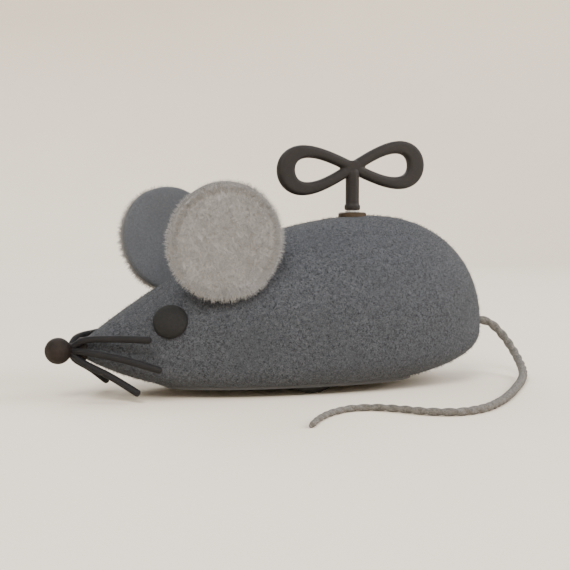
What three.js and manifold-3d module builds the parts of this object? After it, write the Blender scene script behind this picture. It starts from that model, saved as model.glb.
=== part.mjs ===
// A clockwork mouse with a winding key on its back. Millimetres, +Z up, z = 0 is the floor under the wheels.
// The mouse faces -X and is symmetric about the plane y = 0, apart from its tail and its gear train.
// A "station" is a distance behind the tip of the snout, measured along +X.
import * as THREE from "three";
import { mergeVertices } from "three/addons/utils/BufferGeometryUtils.js";
import Module from "manifold-3d";

const wasm = await Module();
wasm.setup();

// ---------------------------------------------------------------- driving dimensions

// Body form
const BODY_LENGTH = 86;
const BODY_WIDTH = 38;
const BODY_HEIGHT = 31.4; // from the shell's flat underside to the top of the back
const GROUND_GAP = 1.6; // floor to the underside of the base plate
const BASE_SHEET = 0.6;
const KEEL_DROP = 1.8; // how far the full form would reach below the flat underside
const SNOUT_RISE = 6.8; // snout tip above the flat underside
const RUMP_RISE = 9.4; // rearmost point above the flat underside
const HUMP_FROM_RUMP = 24.5;
const WIDEST_FROM_RUMP = 30;
const KEEL_FROM_RUMP = 41;
const SLOPE_POWER = 1.85; // brow line, snout to hump: higher is steeper at the snout
const RUMP_POWER = 2.2;
const CHIN_POWER = 3.5;
const CHEEK_POWER = 2.2;
const UPPER_SECTION_POWER = 2.1;
const LOWER_SECTION_POWER = 4;
const SHELL_WALL = 0.8;
const SNOUT_CUT_STATION = 2.5; // the shell ends here and the nose takes over
const CAVITY_START_STATION = 7;
const FLANGE_WIDTH = 1.2;
const PLATE_INSET = 0.4;
const TAB_WIDTH = 3.4; // tabs of the shell that are folded under the base plate
const TAB_LEG = 0.6;
const TAB_LEAF = 2.2;
const TAB_LEAF_SHEET = 0.45;
const TAB_MARGIN = 1.2; // edge of the base plate to the leg of a tab
const TAB_AHEAD = 6.8; // front tabs, ahead of the wheel wells
const SHELL_RINGS = 24;
const SHELL_SIDES = 24;

// Face
const NOSE_RADIUS = 2.4;
const NOSE_NECK_RADIUS = 1.3;
const NOSE_COLLAR_RADIUS = 2.3;
const NOSE_SHANK_RADIUS = 0.7;
const NOSE_SHANK_LENGTH = 3;
const EYE_RADIUS = 3.2;
const EYE_DEPTH = 1.7;
const EYE_SHANK_RADIUS = 0.8;
const EYE_STATION = 15.8;
const EYE_RISE = 4.8; // above the belt line
const WHISKER_RADIUS = 0.6;
const WHISKER_SPLAY = 42; // degrees from straight back
const WHISKERS = [
  { length: 13.5, pitch: 2, rootAngle: 40 },
  { length: 15.5, pitch: -11, rootAngle: 0 },
  { length: 12.5, pitch: -26, rootAngle: -40 },
];

// Ears
const EAR_RADIUS = 10.6;
const EAR_THICKNESS = 1.4;
const EAR_LINING_RADIUS = 10.2;
const EAR_LINING_THICKNESS = 1;
const EAR_STATION = 24.2;
const EAR_ABOVE_CREST = 4.9; // centre of the disc above the top of the head there
const EAR_OVERHANG = 3; // centre of the disc outside the body's side at the foot of the disc
const EAR_YAW = 6; // degrees that the face of the ear turns forwards
const EAR_SPLAY = 10; // degrees that the top of the ear leans outwards
const EAR_TAB_WIDTH = 5;
const EAR_TAB_HEIGHT = 0.8;
const EAR_TAB_REACH = 4; // from the ear's inner face, before its end is trimmed inside the shell
const EAR_TAB_SHOWS = 0.3; // how far the trimmed end stands inside the shell
const EAR_TAB_DROP = 9; // below the disc's centre, along the disc

// Tail, a tapered cord that comes out of a grommet and curls round on the floor
const TAIL_RADIUS = 0.95;
const GROMMET_RADIUS = 2.3;
const GROMMET_REACH = 0.8;
const GROMMET_NECK_RADIUS = 1.6;
const TAIL_STEPS = 48;

// Key
const KEY_FROM_RUMP = 27.9;
const KEY_STEM_RADIUS = 1.45;
const KEY_STEM_CLEAR = 0.4; // above the bush
const KEY_BOW_RISE = 9.6; // centre of the bow above the back
const KEY_LOOP_LENGTH = 15; // centre line, from the crossing to the far end of one loop
const KEY_LOOP_HEIGHT = 3.65; // centre line, half the height of a loop
const KEY_STRAP = 2.2;
const KEY_SWELL = 0.65; // how much wider the strap is at the far ends
const KEY_TILT = 4; // degrees that the rear loop of the bow is raised
const KEY_THICKNESS = 2;
const KEY_SQUARE = 1.7;
const KEY_SOCKET_DEPTH = 3.4;
const BUSH_WALL = 0.6;

// Movement
const GEAR_MODULE = 0.6;
const GREAT_TEETH = 40;
const PINION_TEETH = 10;
const CROWN_TEETH = 22;
const RATCHET_TEETH = 12;
const RATCHET_TIP = 4.2;
const RATCHET_ROOT = 3.3;
const CLICK_REACH = 6.3; // winding axis to the click's stud
const CLICK_ANGLE = 62; // degrees round from +X
const CLICK_STUD_RADIUS = 0.6;
const SHORT_ADDENDUM = 0.6; // in modules, for a wheel that drives a small pinion
const BACKLASH = 0.24;
const MOVEMENT_SHEET = 0.8;
const GEAR_SHEET = 1;
const ARBOR_RADIUS = 1.5;
const PIVOT_RADIUS = 0.9;
const AXLE_RADIUS = 1;
const RUNNING_GAP = 0.15;
const STACK_GAP = 0.35; // between parts that turn past each other
const SPRING_RADIUS = 9.3;
const SPRING_TURNS = 5;
const SPRING_SHEET = 0.4;
const SPRING_HEIGHT = 3.4;
const PILLAR_RADIUS = 1.5;
const PLATE_MARGIN = 0.8; // round a pillar
const PLATE_CORNER = 1.5;
const POST_RADIUS = 1.8;
const SCREW_RADIUS = 0.8;
const SCREW_HEAD_RADIUS = 1.7;
const SCREW_HEAD_HEIGHT = 0.55;
const SHELL_CLEARANCE = 0.6; // movement to the inside of the shell

// Running gear
const WHEEL_RADIUS = 6.5;
const WHEEL_WIDTH = 3;
const TYRE_DEPTH = 1.3;
const RIM_SHEET = 1;
const HUB_RADIUS = 2.2;
const WHEEL_TO_BRACKET = 0.8;
const ROLLER_RADIUS = 3.4;
const ROLLER_WIDTH = 4;
const ROLLER_PIN_RADIUS = 0.75;
const BRACKET_SHEET = 0.8;
const BRACKET_EYE_RADIUS = 2.4;
const FOOT_WIDTH = 2.4;
const FOOT_REACH = 2.4;
const WELL_GAP = 0.6; // round a wheel, where it comes through the base

const TOUCH_GAP = 0.1;
const FIT_GAP = 0.3;

// ---------------------------------------------------------------- places worked out from them

const FLOOR_OF_SHELL = GROUND_GAP + BASE_SHEET;
const KEEL_Z = FLOOR_OF_SHELL - KEEL_DROP;
const SNOUT_Z = FLOOR_OF_SHELL + SNOUT_RISE;
const RUMP_Z = FLOOR_OF_SHELL + RUMP_RISE;
const BACK_Z = FLOOR_OF_SHELL + BODY_HEIGHT;
const HUMP_STATION = BODY_LENGTH - HUMP_FROM_RUMP;
const WIDEST_STATION = BODY_LENGTH - WIDEST_FROM_RUMP;
const KEEL_STATION = BODY_LENGTH - KEEL_FROM_RUMP;
const KEY_STATION = BODY_LENGTH - KEY_FROM_RUMP;

const PINION_PITCH = (GEAR_MODULE * PINION_TEETH) / 2;
const GREAT_PITCH = (GEAR_MODULE * GREAT_TEETH) / 2;
const GREAT_TIP = GREAT_PITCH + SHORT_ADDENDUM * GEAR_MODULE;
const CROWN_PITCH = (GEAR_MODULE * CROWN_TEETH) / 2;
const PINION_TIP = PINION_PITCH + GEAR_MODULE;
const AXLE_STATION = KEY_STATION - GREAT_PITCH - PINION_PITCH;
const AXLE_Z = WHEEL_RADIUS;

const BASE_TOP = FLOOR_OF_SHELL;
const CROWN_PITCH_Z = AXLE_Z + PINION_PITCH;
const CROWN_DISC_Z = AXLE_Z + PINION_TIP + STACK_GAP;
const LOWER_PLATE_Z = Math.max(CROWN_DISC_Z + GEAR_SHEET, 2 * WHEEL_RADIUS) + WELL_GAP;
const GREAT_WHEEL_Z = LOWER_PLATE_Z + MOVEMENT_SHEET + 2 * STACK_GAP;
const RATCHET_Z = GREAT_WHEEL_Z + GEAR_SHEET + STACK_GAP;
const SPRING_Z = RATCHET_Z + GEAR_SHEET + 2 * STACK_GAP;
const UPPER_PLATE_Z = SPRING_Z + SPRING_HEIGHT + 2 * STACK_GAP;
const MOVEMENT_TOP = UPPER_PLATE_Z + MOVEMENT_SHEET;

const PINION_FACE = 2;
const AXLE_PINION_Y = -CROWN_PITCH;
const BRACKET_Y = CROWN_PITCH + PINION_FACE / 2 + STACK_GAP;
const WHEEL_Y = BRACKET_Y + BRACKET_SHEET + WHEEL_TO_BRACKET;
const ROLLER_STATION = KEY_STATION;
const FRONT_POST_STATION = AXLE_STATION - CROWN_PITCH - POST_RADIUS - 2 * STACK_GAP;
const REAR_POST_STATION = AXLE_STATION + WHEEL_RADIUS + WELL_GAP + POST_RADIUS + 1;
const PILLAR_CIRCLE = GREAT_TIP + PILLAR_RADIUS + STACK_GAP; // round the great wheel

// The part's origin is under the middle of the casing, nose and grommet included.
const NOSE_REACH = 2 * NOSE_RADIUS;
const SNOUT_X = (NOSE_REACH - BODY_LENGTH - GROMMET_REACH) / 2;
const atStation = (station) => SNOUT_X + station;
const radians = (degrees) => THREE.MathUtils.degToRad(degrees);

// ---------------------------------------------------------------- materials

const material = (color, roughness, metalness) =>
  new THREE.MeshStandardMaterial({ color, roughness, metalness });
const materials = {
  flock: material(0x5b6067, 0.95, 0),
  earFelt: material(0x737980, 0.95, 0),
  earLining: material(0xa9a8aa, 0.95, 0),
  blackRubber: material(0x1d1b1b, 0.6, 0),
  blackGloss: material(0x141414, 0.2, 0),
  tailCord: material(0x55534f, 0.9, 0),
  keyEnamel: material(0x262220, 0.45, 0.3),
  tinplate: material(0xb9bcc0, 0.35, 1),
  steel: material(0x9a9da2, 0.35, 1),
  springSteel: material(0x4d5560, 0.3, 1),
  brass: material(0xc9a24d, 0.3, 1),
};

// ---------------------------------------------------------------- solids

// A closed three.js geometry as a manifold-3d solid.
function solidOf(geometry) {
  const bare = geometry.index ? geometry.toNonIndexed() : geometry.clone();
  bare.deleteAttribute("normal");
  bare.deleteAttribute("uv");
  const merged = mergeVertices(bare, 1e-4);
  const vertProperties = merged.attributes.position.array;
  const triVerts = new Uint32Array(merged.index.array);
  return new wasm.Manifold(new wasm.Mesh({ numProp: 3, vertProperties, triVerts }));
}

// A manifold-3d solid as a three.js geometry.
function geometryOf(solid) {
  const mesh = solid.getMesh();
  const geometry = new THREE.BufferGeometry();
  geometry.setAttribute("position", new THREE.BufferAttribute(mesh.vertProperties, 3));
  geometry.setIndex(new THREE.BufferAttribute(mesh.triVerts, 1));
  geometry.computeVertexNormals();
  return geometry;
}

const joined = (...geometries) =>
  geometryOf(geometries.map(solidOf).reduce((all, solid) => all.add(solid)));

const cut = (geometry, ...tools) =>
  geometryOf(tools.map(solidOf).reduce((left, solid) => left.subtract(solid), solidOf(geometry)));

// An upright round bar between two heights.
function bar(radius, bottom, top, sides = 20) {
  const geometry = new THREE.CylinderGeometry(radius, radius, top - bottom, sides);
  return geometry.rotateX(Math.PI / 2).translate(0, 0, (top + bottom) / 2);
}

// A box given by its middle in x and y, its sizes, and its lowest and highest z.
function block(x, y, sizeX, sizeY, bottom, top) {
  return new THREE.BoxGeometry(sizeX, sizeY, top - bottom).translate(x, y, (top + bottom) / 2);
}

// A flat outline pulled up between two heights.
function slab(outline, bottom, top) {
  const geometry = new THREE.ExtrudeGeometry(outline, { depth: top - bottom, bevelEnabled: false });
  return geometry.translate(0, 0, bottom);
}

// A solid of revolution about Z from (radius, height) pairs that start and end on the axis.
function turned(profile, sides = 20) {
  const points = profile.map(([radius, height]) => new THREE.Vector2(radius, height));
  return new THREE.LatheGeometry(points, sides).rotateX(Math.PI / 2);
}

// The same, for a profile that closes on itself round a hole.
function turnedRing(inner, outer, bottom, top, sides = 24) {
  return turned(
    [[inner, bottom], [outer, bottom], [outer, top], [inner, top], [inner, bottom]], sides);
}

function roundSection(radius, sides) {
  const points = [];
  for (let i = 0; i < sides; i++) {
    const angle = (2 * Math.PI * i) / sides;
    points.push(new THREE.Vector2(radius * Math.cos(angle), radius * Math.sin(angle)));
  }
  return new THREE.Shape(points);
}

// A round bar along a curve, with flat closed ends.
function swept(curve, radius, sides, steps) {
  return new THREE.ExtrudeGeometry(roundSection(radius, sides), { steps, extrudePath: curve });
}

function part(name, geometry, finish, parent, position = [0, 0, 0]) {
  const mesh = new THREE.Mesh(geometry, finish);
  mesh.name = name;
  mesh.position.set(...position);
  parent.add(mesh);
  return mesh;
}

function groupAt(parent, x, y, z) {
  const group = new THREE.Group();
  group.position.set(x, y, z);
  parent.add(group);
  return group;
}

// ---------------------------------------------------------------- body form

const oval = (u, power) => Math.pow(Math.max(0, 1 - Math.pow(Math.abs(u), power)), 1 / power);
const rampTo = (u, power) => 1 - Math.pow(Math.max(0, 1 - u), power);

const beltZ = (station) => SNOUT_Z + ((RUMP_Z - SNOUT_Z) * station) / BODY_LENGTH;

function crestZ(station) {
  if (station < HUMP_STATION)
    return SNOUT_Z + (BACK_Z - SNOUT_Z) * rampTo(station / HUMP_STATION, SLOPE_POWER);
  return RUMP_Z + (BACK_Z - RUMP_Z) * oval((station - HUMP_STATION) / HUMP_FROM_RUMP, RUMP_POWER);
}

function keelZ(station) {
  if (station < KEEL_STATION)
    return KEEL_Z + (SNOUT_Z - KEEL_Z) * Math.pow(1 - station / KEEL_STATION, CHIN_POWER);
  return RUMP_Z - (RUMP_Z - KEEL_Z) * oval((station - KEEL_STATION) / KEEL_FROM_RUMP, 2);
}

function halfWidth(station) {
  if (station < WIDEST_STATION)
    return (BODY_WIDTH / 2) * rampTo(station / WIDEST_STATION, CHEEK_POWER);
  return (BODY_WIDTH / 2) * oval((station - WIDEST_STATION) / WIDEST_FROM_RUMP, RUMP_POWER);
}

// Half the body's width at a station and a height, for the form moved inwards by inset.
function halfWidthAt(station, z, inset = 0) {
  const belt = beltZ(station);
  const reach = Math.max(0, halfWidth(station) - inset);
  if (z >= belt)
    return reach * oval((z - belt) / (crestZ(station) - belt - inset), UPPER_SECTION_POWER);
  return reach * oval((belt - z) / (belt - keelZ(station) - inset), LOWER_SECTION_POWER);
}

// The closed form of the body, from one station to another, moved inwards by inset.
function bodyForm(inset, start, end, rings = SHELL_RINGS, sides = SHELL_SIDES) {
  const geometry = new THREE.SphereGeometry(1, sides, rings).rotateZ(-Math.PI / 2);
  const position = geometry.attributes.position;
  for (let i = 0; i < position.count; i++) {
    const along = position.getX(i);
    const station = start + ((end - start) * (1 + along)) / 2;
    const belt = beltZ(station);
    const pole = Math.abs(along) > 1 - 1e-6;
    // Rounded, so that the two ends of the sphere's seam land on one another.
    const angle = Number(Math.atan2(position.getZ(i), position.getY(i)).toFixed(6));
    const upper = Math.sin(angle) >= 0;
    const power = 2 / (upper ? UPPER_SECTION_POWER : LOWER_SECTION_POWER);
    const reach = Math.max(0, halfWidth(station) - inset);
    const rise = Math.max(0, (upper ? crestZ(station) - belt : belt - keelZ(station)) - inset);
    const across = Math.sign(Math.cos(angle)) * Math.pow(Math.abs(Math.cos(angle)), power);
    const up = Math.sign(Math.sin(angle)) * Math.pow(Math.abs(Math.sin(angle)), power);
    const x = atStation(station) - (pole && inset < 0 ? Math.sign(along) * inset : 0);
    position.setXYZ(i, x, pole ? 0 : reach * across, pole ? belt : belt + rise * up);
  }
  return geometry;
}

const outsideForm = (grown = 0) => bodyForm(-grown, 0, BODY_LENGTH);

// The outline where the flat underside cuts the form, moved inwards by inset.
function undersideOutline(inset) {
  const steps = 26;
  const cutAt = FLOOR_OF_SHELL;
  const half = [];
  for (let i = 0; i <= 400; i++) {
    const station = (BODY_LENGTH * i) / 400;
    if (keelZ(station) < cutAt) half.push(station);
  }
  const first = half[0] + inset;
  const last = half[half.length - 1] - inset;
  const points = [];
  for (let i = 1; i < steps; i++) {
    const station = first + ((last - first) * (1 - Math.cos((Math.PI * i) / steps))) / 2;
    points.push(new THREE.Vector2(atStation(station), halfWidthAt(station, cutAt) - inset));
  }
  const inside = points.filter((p) => p.y > 0.5);
  const mirrored = inside.map((p) => new THREE.Vector2(p.x, -p.y)).reverse();
  return new THREE.Shape([...inside, ...mirrored]);
}

// Half the room inside the shell at a station and a height.
const roomAt = (station, z) => halfWidthAt(station, z, SHELL_WALL + SHELL_CLEARANCE);

// A place on the body's side, with the direction that points straight out of it there.
function sidePlace(station, z, side) {
  const step = 0.2;
  const y = halfWidthAt(station, z);
  const alongX = (halfWidthAt(station + step, z) - y) / step;
  const alongZ = (halfWidthAt(station, z + step) - y) / step;
  return {
    place: new THREE.Vector3(atStation(station), side * y, z),
    outwards: new THREE.Vector3(-alongX, side, -alongZ).normalize(),
  };
}

// Turns a mesh's own +Z to a direction.
function aim(mesh, direction) {
  mesh.quaternion.setFromUnitVectors(new THREE.Vector3(0, 0, 1), direction);
  return mesh;
}

// ---------------------------------------------------------------- casing

const mouse = new THREE.Group();

// The two wells that let the drive wheels through the base, and the one for the rear roller.
const wheelWells = [-1, 1].map((side) =>
  block(atStation(AXLE_STATION), side * (WHEEL_Y + WHEEL_WIDTH / 2), 2 * (WHEEL_RADIUS + WELL_GAP),
    WHEEL_WIDTH + 2 * WELL_GAP, GROUND_GAP - 1, 2 * WHEEL_RADIUS + WELL_GAP));
const rollerWell = block(atStation(ROLLER_STATION), 0, 2 * (ROLLER_RADIUS + WELL_GAP),
  ROLLER_WIDTH + 2 * WELL_GAP, GROUND_GAP - 1, FLOOR_OF_SHELL + SHELL_WALL + 1);

const earZ = crestZ(EAR_STATION) + EAR_ABOVE_CREST;
const earFootZ = earZ - EAR_RADIUS * Math.cos(radians(EAR_SPLAY));
const earSpread = halfWidthAt(EAR_STATION, earFootZ) + EAR_OVERHANG;
const earFrames = [-1, 1].map((side) => {
  const outwards = new THREE.Vector3(
    -Math.sin(radians(EAR_YAW)),
    side * Math.cos(radians(EAR_YAW)),
    -Math.tan(radians(EAR_SPLAY)),
  ).normalize();
  const level = new THREE.Vector3(0, 0, 1).cross(outwards).normalize();
  const upwards = outwards.clone().cross(level);
  return new THREE.Matrix4().makeBasis(level, upwards, outwards)
    .setPosition(atStation(EAR_STATION), side * earSpread, earZ);
});

// The ear's tab, in the ear's own frame: it runs inwards from the disc through the shell.
const earTab = (gap) =>
  block(0, -EAR_TAB_DROP, EAR_TAB_WIDTH + 2 * gap, EAR_TAB_HEIGHT + 2 * gap,
    -EAR_THICKNESS - EAR_TAB_REACH - gap, -EAR_THICKNESS / 2 + gap);

const eyeFrames = [-1, 1].map((side) =>
  sidePlace(EYE_STATION, beltZ(EYE_STATION) + EYE_RISE, side));

function placedAt(geometry, place, direction) {
  const turn = new THREE.Quaternion().setFromUnitVectors(new THREE.Vector3(0, 0, 1), direction);
  return geometry.applyQuaternion(turn).translate(place.x, place.y, place.z);
}

// Folded tabs that hold the base plate to the shell: a leg through a slot, and a leaf bent under.
const flangeInset = PLATE_INSET + FLANGE_WIDTH + TAB_LEG;
const tabLegInset = PLATE_INSET + TAB_MARGIN + TAB_LEG / 2;
const tabLeafInset = tabLegInset - TAB_LEG / 2 + TAB_LEAF;
const tabFromAxle = WHEEL_RADIUS + WELL_GAP + TAB_WIDTH / 2;
const tabStations = [AXLE_STATION - tabFromAxle - TAB_AHEAD, AXLE_STATION + tabFromAxle];
const tabPlaces = tabStations.flatMap((station) =>
  [-1, 1].map((side) => ({
    x: atStation(station),
    y: side * (halfWidthAt(station, FLOOR_OF_SHELL) - tabLegInset),
    side,
  })));

const tabLeg = ({ x, y }, gap) =>
  block(x, y, TAB_WIDTH + 2 * gap, TAB_LEG + 2 * gap, GROUND_GAP - TAB_LEAF_SHEET - gap,
    FLOOR_OF_SHELL + SHELL_WALL / 2);

const tabLeaf = ({ x, y, side }) =>
  block(x, y - (side * (TAB_LEAF - TAB_LEG)) / 2, TAB_WIDTH, TAB_LEAF,
    GROUND_GAP - TAB_LEAF_SHEET - TOUCH_GAP, GROUND_GAP - TOUCH_GAP);

function bodyShell() {
  const high = BACK_Z + 10;
  const below = block(0, 0, 4 * BODY_LENGTH, 4 * BODY_WIDTH, -high, FLOOR_OF_SHELL);
  const underInside = block(
    0, 0, 4 * BODY_LENGTH, 4 * BODY_WIDTH, -high, FLOOR_OF_SHELL + SHELL_WALL);
  const cavity = cut(
    bodyForm(SHELL_WALL, CAVITY_START_STATION, BODY_LENGTH - 2 * SHELL_WALL), underInside);
  const opening = slab(
    undersideOutline(flangeInset), FLOOR_OF_SHELL - 1, FLOOR_OF_SHELL + SHELL_WALL + 1);
  const snoutEnd = block(
    atStation(SNOUT_CUT_STATION) - BODY_LENGTH, 0, 2 * BODY_LENGTH, 4 * BODY_WIDTH, -high, high);
  const noseHole = bar(NOSE_SHANK_RADIUS + TOUCH_GAP, -1, CAVITY_START_STATION + 3, 12)
    .rotateY(Math.PI / 2).translate(atStation(0), 0, SNOUT_Z);
  const tailHole = bar(GROMMET_NECK_RADIUS + TOUCH_GAP, -3 * SHELL_WALL - 2, 3, 16)
    .rotateY(Math.PI / 2).translate(atStation(BODY_LENGTH), 0, RUMP_Z);
  const keyHole = bar(bushRadius + TOUCH_GAP, MOVEMENT_TOP, high, 20)
    .translate(atStation(KEY_STATION), 0, 0);
  const earSlits = earFrames.map((frame) => earTab(FIT_GAP).applyMatrix4(frame));
  const eyeHoles = eyeFrames.map(({ place, outwards }) =>
    placedAt(bar(EYE_SHANK_RADIUS + TOUCH_GAP, -5, 5, 12), place, outwards));
  const tabs = tabPlaces.flatMap((tab) => [tabLeg(tab, 0), tabLeaf(tab)]);
  const shell = cut(outsideForm(), below, cavity, opening, snoutEnd, noseHole, tailHole, keyHole,
    ...wheelWells, rollerWell, ...earSlits, ...eyeHoles);
  return joined(shell, ...tabs);
}

function basePlate(screwPlaces) {
  const slots = tabPlaces.map((tab) => tabLeg(tab, FIT_GAP / 2));
  const holes = screwPlaces.map(([x, y]) =>
    bar(SCREW_RADIUS + TOUCH_GAP, GROUND_GAP - 1, FLOOR_OF_SHELL + 1, 12).translate(x, y, 0));
  return cut(slab(undersideOutline(PLATE_INSET), GROUND_GAP, FLOOR_OF_SHELL),
    ...wheelWells, rollerWell, ...slots, ...holes);
}

function nose() {
  const reach = SNOUT_CUT_STATION - TOUCH_GAP;
  const profile = [[0, -NOSE_REACH]];
  for (let angle = 20; angle <= 140; angle += 20)
    profile.push([
      NOSE_RADIUS * Math.sin(radians(angle)), -NOSE_RADIUS - NOSE_RADIUS * Math.cos(radians(angle))]);
  profile.push([NOSE_NECK_RADIUS, 0], [NOSE_COLLAR_RADIUS, reach - 0.6],
    [NOSE_COLLAR_RADIUS, reach], [NOSE_SHANK_RADIUS, reach],
    [NOSE_SHANK_RADIUS, reach + NOSE_SHANK_LENGTH], [0, reach + NOSE_SHANK_LENGTH]);
  return turned(profile, 16).rotateY(Math.PI / 2);
}

// A dome whose back follows the body, with a shank that goes through the shell.
function eye({ place, outwards }) {
  const profile = [[0, -2.2 * SHELL_WALL], [EYE_SHANK_RADIUS, -2.2 * SHELL_WALL],
    [EYE_SHANK_RADIUS, -0.5], [EYE_RADIUS, -0.5]];
  for (let angle = 0; angle < 90; angle += 22.5)
    profile.push([EYE_RADIUS * Math.cos(radians(angle)), EYE_DEPTH * Math.sin(radians(angle))]);
  profile.push([0, EYE_DEPTH]);
  const shank = placedAt(
    bar(EYE_SHANK_RADIUS, -2.2 * SHELL_WALL, 0.6, 12), place, outwards);
  const dome = placedAt(turned(profile, 18), place, outwards);
  return joined(cut(dome, outsideForm(TOUCH_GAP)), shank);
}

function ear(frame) {
  const disc = bar(EAR_RADIUS, -EAR_THICKNESS, 0, 28).applyMatrix4(frame);
  const tab = cut(earTab(0).applyMatrix4(frame),
    bodyForm(SHELL_WALL + EAR_TAB_SHOWS, 0, BODY_LENGTH));
  return joined(cut(disc, outsideForm(TOUCH_GAP)), tab);
}

function earLining(frame) {
  const disc = bar(EAR_LINING_RADIUS, TOUCH_GAP, EAR_LINING_THICKNESS, 28).applyMatrix4(frame);
  return cut(disc, outsideForm(TOUCH_GAP));
}

// A whisker leaves the collar of the nose, splays outwards and droops a little towards its tip.
function whisker({ length, pitch, rootAngle }, side) {
  const rootReach = NOSE_COLLAR_RADIUS + WHISKER_RADIUS;
  const root = new THREE.Vector3(
    SNOUT_CUT_STATION / 2,
    side * rootReach * Math.cos(radians(rootAngle)),
    rootReach * Math.sin(radians(rootAngle)));
  const along = new THREE.Vector3(
    Math.cos(radians(WHISKER_SPLAY)) * Math.cos(radians(pitch)),
    side * Math.sin(radians(WHISKER_SPLAY)) * Math.cos(radians(pitch)),
    Math.sin(radians(pitch)));
  const middle = root.clone().addScaledVector(along, length * 0.5);
  middle.z += length * 0.02;
  const tip = root.clone().addScaledVector(along, length);
  return swept(new THREE.CatmullRomCurve3([root, middle, tip]), WHISKER_RADIUS, 6, 4);
}

// The tail's route as [station, y, z]. It leaves the grommet, drops, and lies on the floor in an S.
const tailRoute = [
  [BODY_LENGTH + GROMMET_REACH + FIT_GAP, 0, RUMP_Z],
  [BODY_LENGTH + 3.4, 0, RUMP_Z - 0.2],
  [BODY_LENGTH + 6.2, -0.6, RUMP_Z - 1.2],
  [BODY_LENGTH + 8, -2.4, RUMP_Z - 3.6],
  [BODY_LENGTH + 8.4, -5.4, 5.2],
  [BODY_LENGTH + 7.2, -9.4, 2.9],
  [BODY_LENGTH + 4.2, -14.4, 1.5],
  [BODY_LENGTH - 0.6, -20, TAIL_RADIUS],
  [BODY_LENGTH - 6.8, -26.6, TAIL_RADIUS],
  [BODY_LENGTH - 13.6, -33.4, TAIL_RADIUS],
  [BODY_LENGTH - 20.6, -39.6, TAIL_RADIUS],
  [BODY_LENGTH - 27.4, -44, TAIL_RADIUS],
  [BODY_LENGTH - 33, -45, TAIL_RADIUS],
  [BODY_LENGTH - 37.2, -42.4, TAIL_RADIUS],
  [BODY_LENGTH - 39.8, -38.2, TAIL_RADIUS],
  [BODY_LENGTH - 42.6, -34.8, TAIL_RADIUS],
  [BODY_LENGTH - 46.8, -33.6, TAIL_RADIUS],
  [BODY_LENGTH - 51.6, -35.6, TAIL_RADIUS],
  [BODY_LENGTH - 56, -39.4, TAIL_RADIUS],
  [BODY_LENGTH - 60, -44.2, TAIL_RADIUS],
];

function tail() {
  const points = tailRoute.map(([station, y, z]) => new THREE.Vector3(atStation(station), y, z));
  return swept(new THREE.CatmullRomCurve3(points, false, "centripetal"), TAIL_RADIUS, 8, TAIL_STEPS);
}

// A grommet: a rim outside the shell, a neck through it, and a plug that the tail is pushed into.
function tailGrommet() {
  const body = turned([
    [0, -2 * SHELL_WALL - 1], [GROMMET_NECK_RADIUS, -2 * SHELL_WALL - 1], [GROMMET_NECK_RADIUS, -0.3],
    [GROMMET_RADIUS, -0.3], [GROMMET_RADIUS, GROMMET_REACH * 0.6],
    [GROMMET_NECK_RADIUS, GROMMET_REACH], [0, GROMMET_REACH]], 16)
    .rotateY(Math.PI / 2).translate(atStation(BODY_LENGTH), 0, RUMP_Z);
  const neck = bar(GROMMET_NECK_RADIUS, -2 * SHELL_WALL - 1, GROMMET_REACH / 2, 16)
    .rotateY(Math.PI / 2).translate(atStation(BODY_LENGTH), 0, RUMP_Z);
  return joined(cut(body, outsideForm(TOUCH_GAP)), neck);
}

// ---------------------------------------------------------------- key

const bushRadius = ARBOR_RADIUS + RUNNING_GAP + BUSH_WALL;
const bushTop = BACK_Z + BUSH_WALL;
const keyStemZ = bushTop + KEY_STEM_CLEAR;
const keyBowZ = BACK_Z + KEY_BOW_RISE;
const keyStemTop = keyBowZ - KEY_STRAP * 0.2;

// The bush that guides the arbor through the back, with a rim that lies on the shell.
function keyBush() {
  const inner = ARBOR_RADIUS + RUNNING_GAP;
  const sleeve = turnedRing(inner, bushRadius, BACK_Z - SHELL_WALL - 1.5, bushTop, 20);
  const rim = turnedRing(inner, bushRadius + BUSH_WALL, BACK_Z - 2, bushTop, 20);
  const form = outsideForm(TOUCH_GAP).translate(-atStation(KEY_STATION), 0, 0);
  return joined(sleeve, cut(rim, form));
}

// One loop of the bow: a teardrop ring whose point lies on the stem. It is half of a figure of eight.
function bowLoop(side) {
  const outline = (offset) => {
    const steps = 22;
    const centre = (t) => new THREE.Vector2(
      side * KEY_LOOP_LENGTH * Math.sin(t), -side * KEY_LOOP_HEIGHT * Math.sin(2 * t));
    const points = [];
    for (let i = 0; i <= steps; i++) {
      const t = (Math.PI * i) / steps;
      const here = centre(t);
      const ahead = centre(t + 1e-3).sub(centre(t - 1e-3)).normalize();
      const swell = 1 + KEY_SWELL * Math.pow(Math.sin(t), 4);
      points.push(here.add(new THREE.Vector2(ahead.y, -ahead.x).multiplyScalar(offset * swell)));
    }
    return points;
  };
  const outer = new THREE.Shape(outline(KEY_STRAP / 2));
  outer.holes.push(new THREE.Path(outline(-KEY_STRAP / 2).slice(2, -2)));
  return slab(outer, -KEY_THICKNESS / 2, KEY_THICKNESS / 2);
}

function keyBow() {
  const hub = bar(KEY_STRAP * 0.7, -KEY_THICKNESS / 2, KEY_THICKNESS / 2, 16);
  const bow = joined(bowLoop(-1), bowLoop(1), hub).rotateX(Math.PI / 2)
    .rotateY(-radians(KEY_TILT)).translate(0, 0, keyBowZ);
  return cut(bow, bar(KEY_STEM_RADIUS + TOUCH_GAP, keyStemZ, keyStemTop, 16));
}

function keyStem() {
  const socket = block(0, 0, KEY_SQUARE + 2 * TOUCH_GAP, KEY_SQUARE + 2 * TOUCH_GAP,
    keyStemZ - 1, keyStemZ + KEY_SOCKET_DEPTH);
  return cut(bar(KEY_STEM_RADIUS, keyStemZ, keyStemTop - TOUCH_GAP, 16), socket);
}

// ---------------------------------------------------------------- gears

const involute = (angle) => Math.tan(angle) - angle;
const PRESSURE = radians(20);

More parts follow.
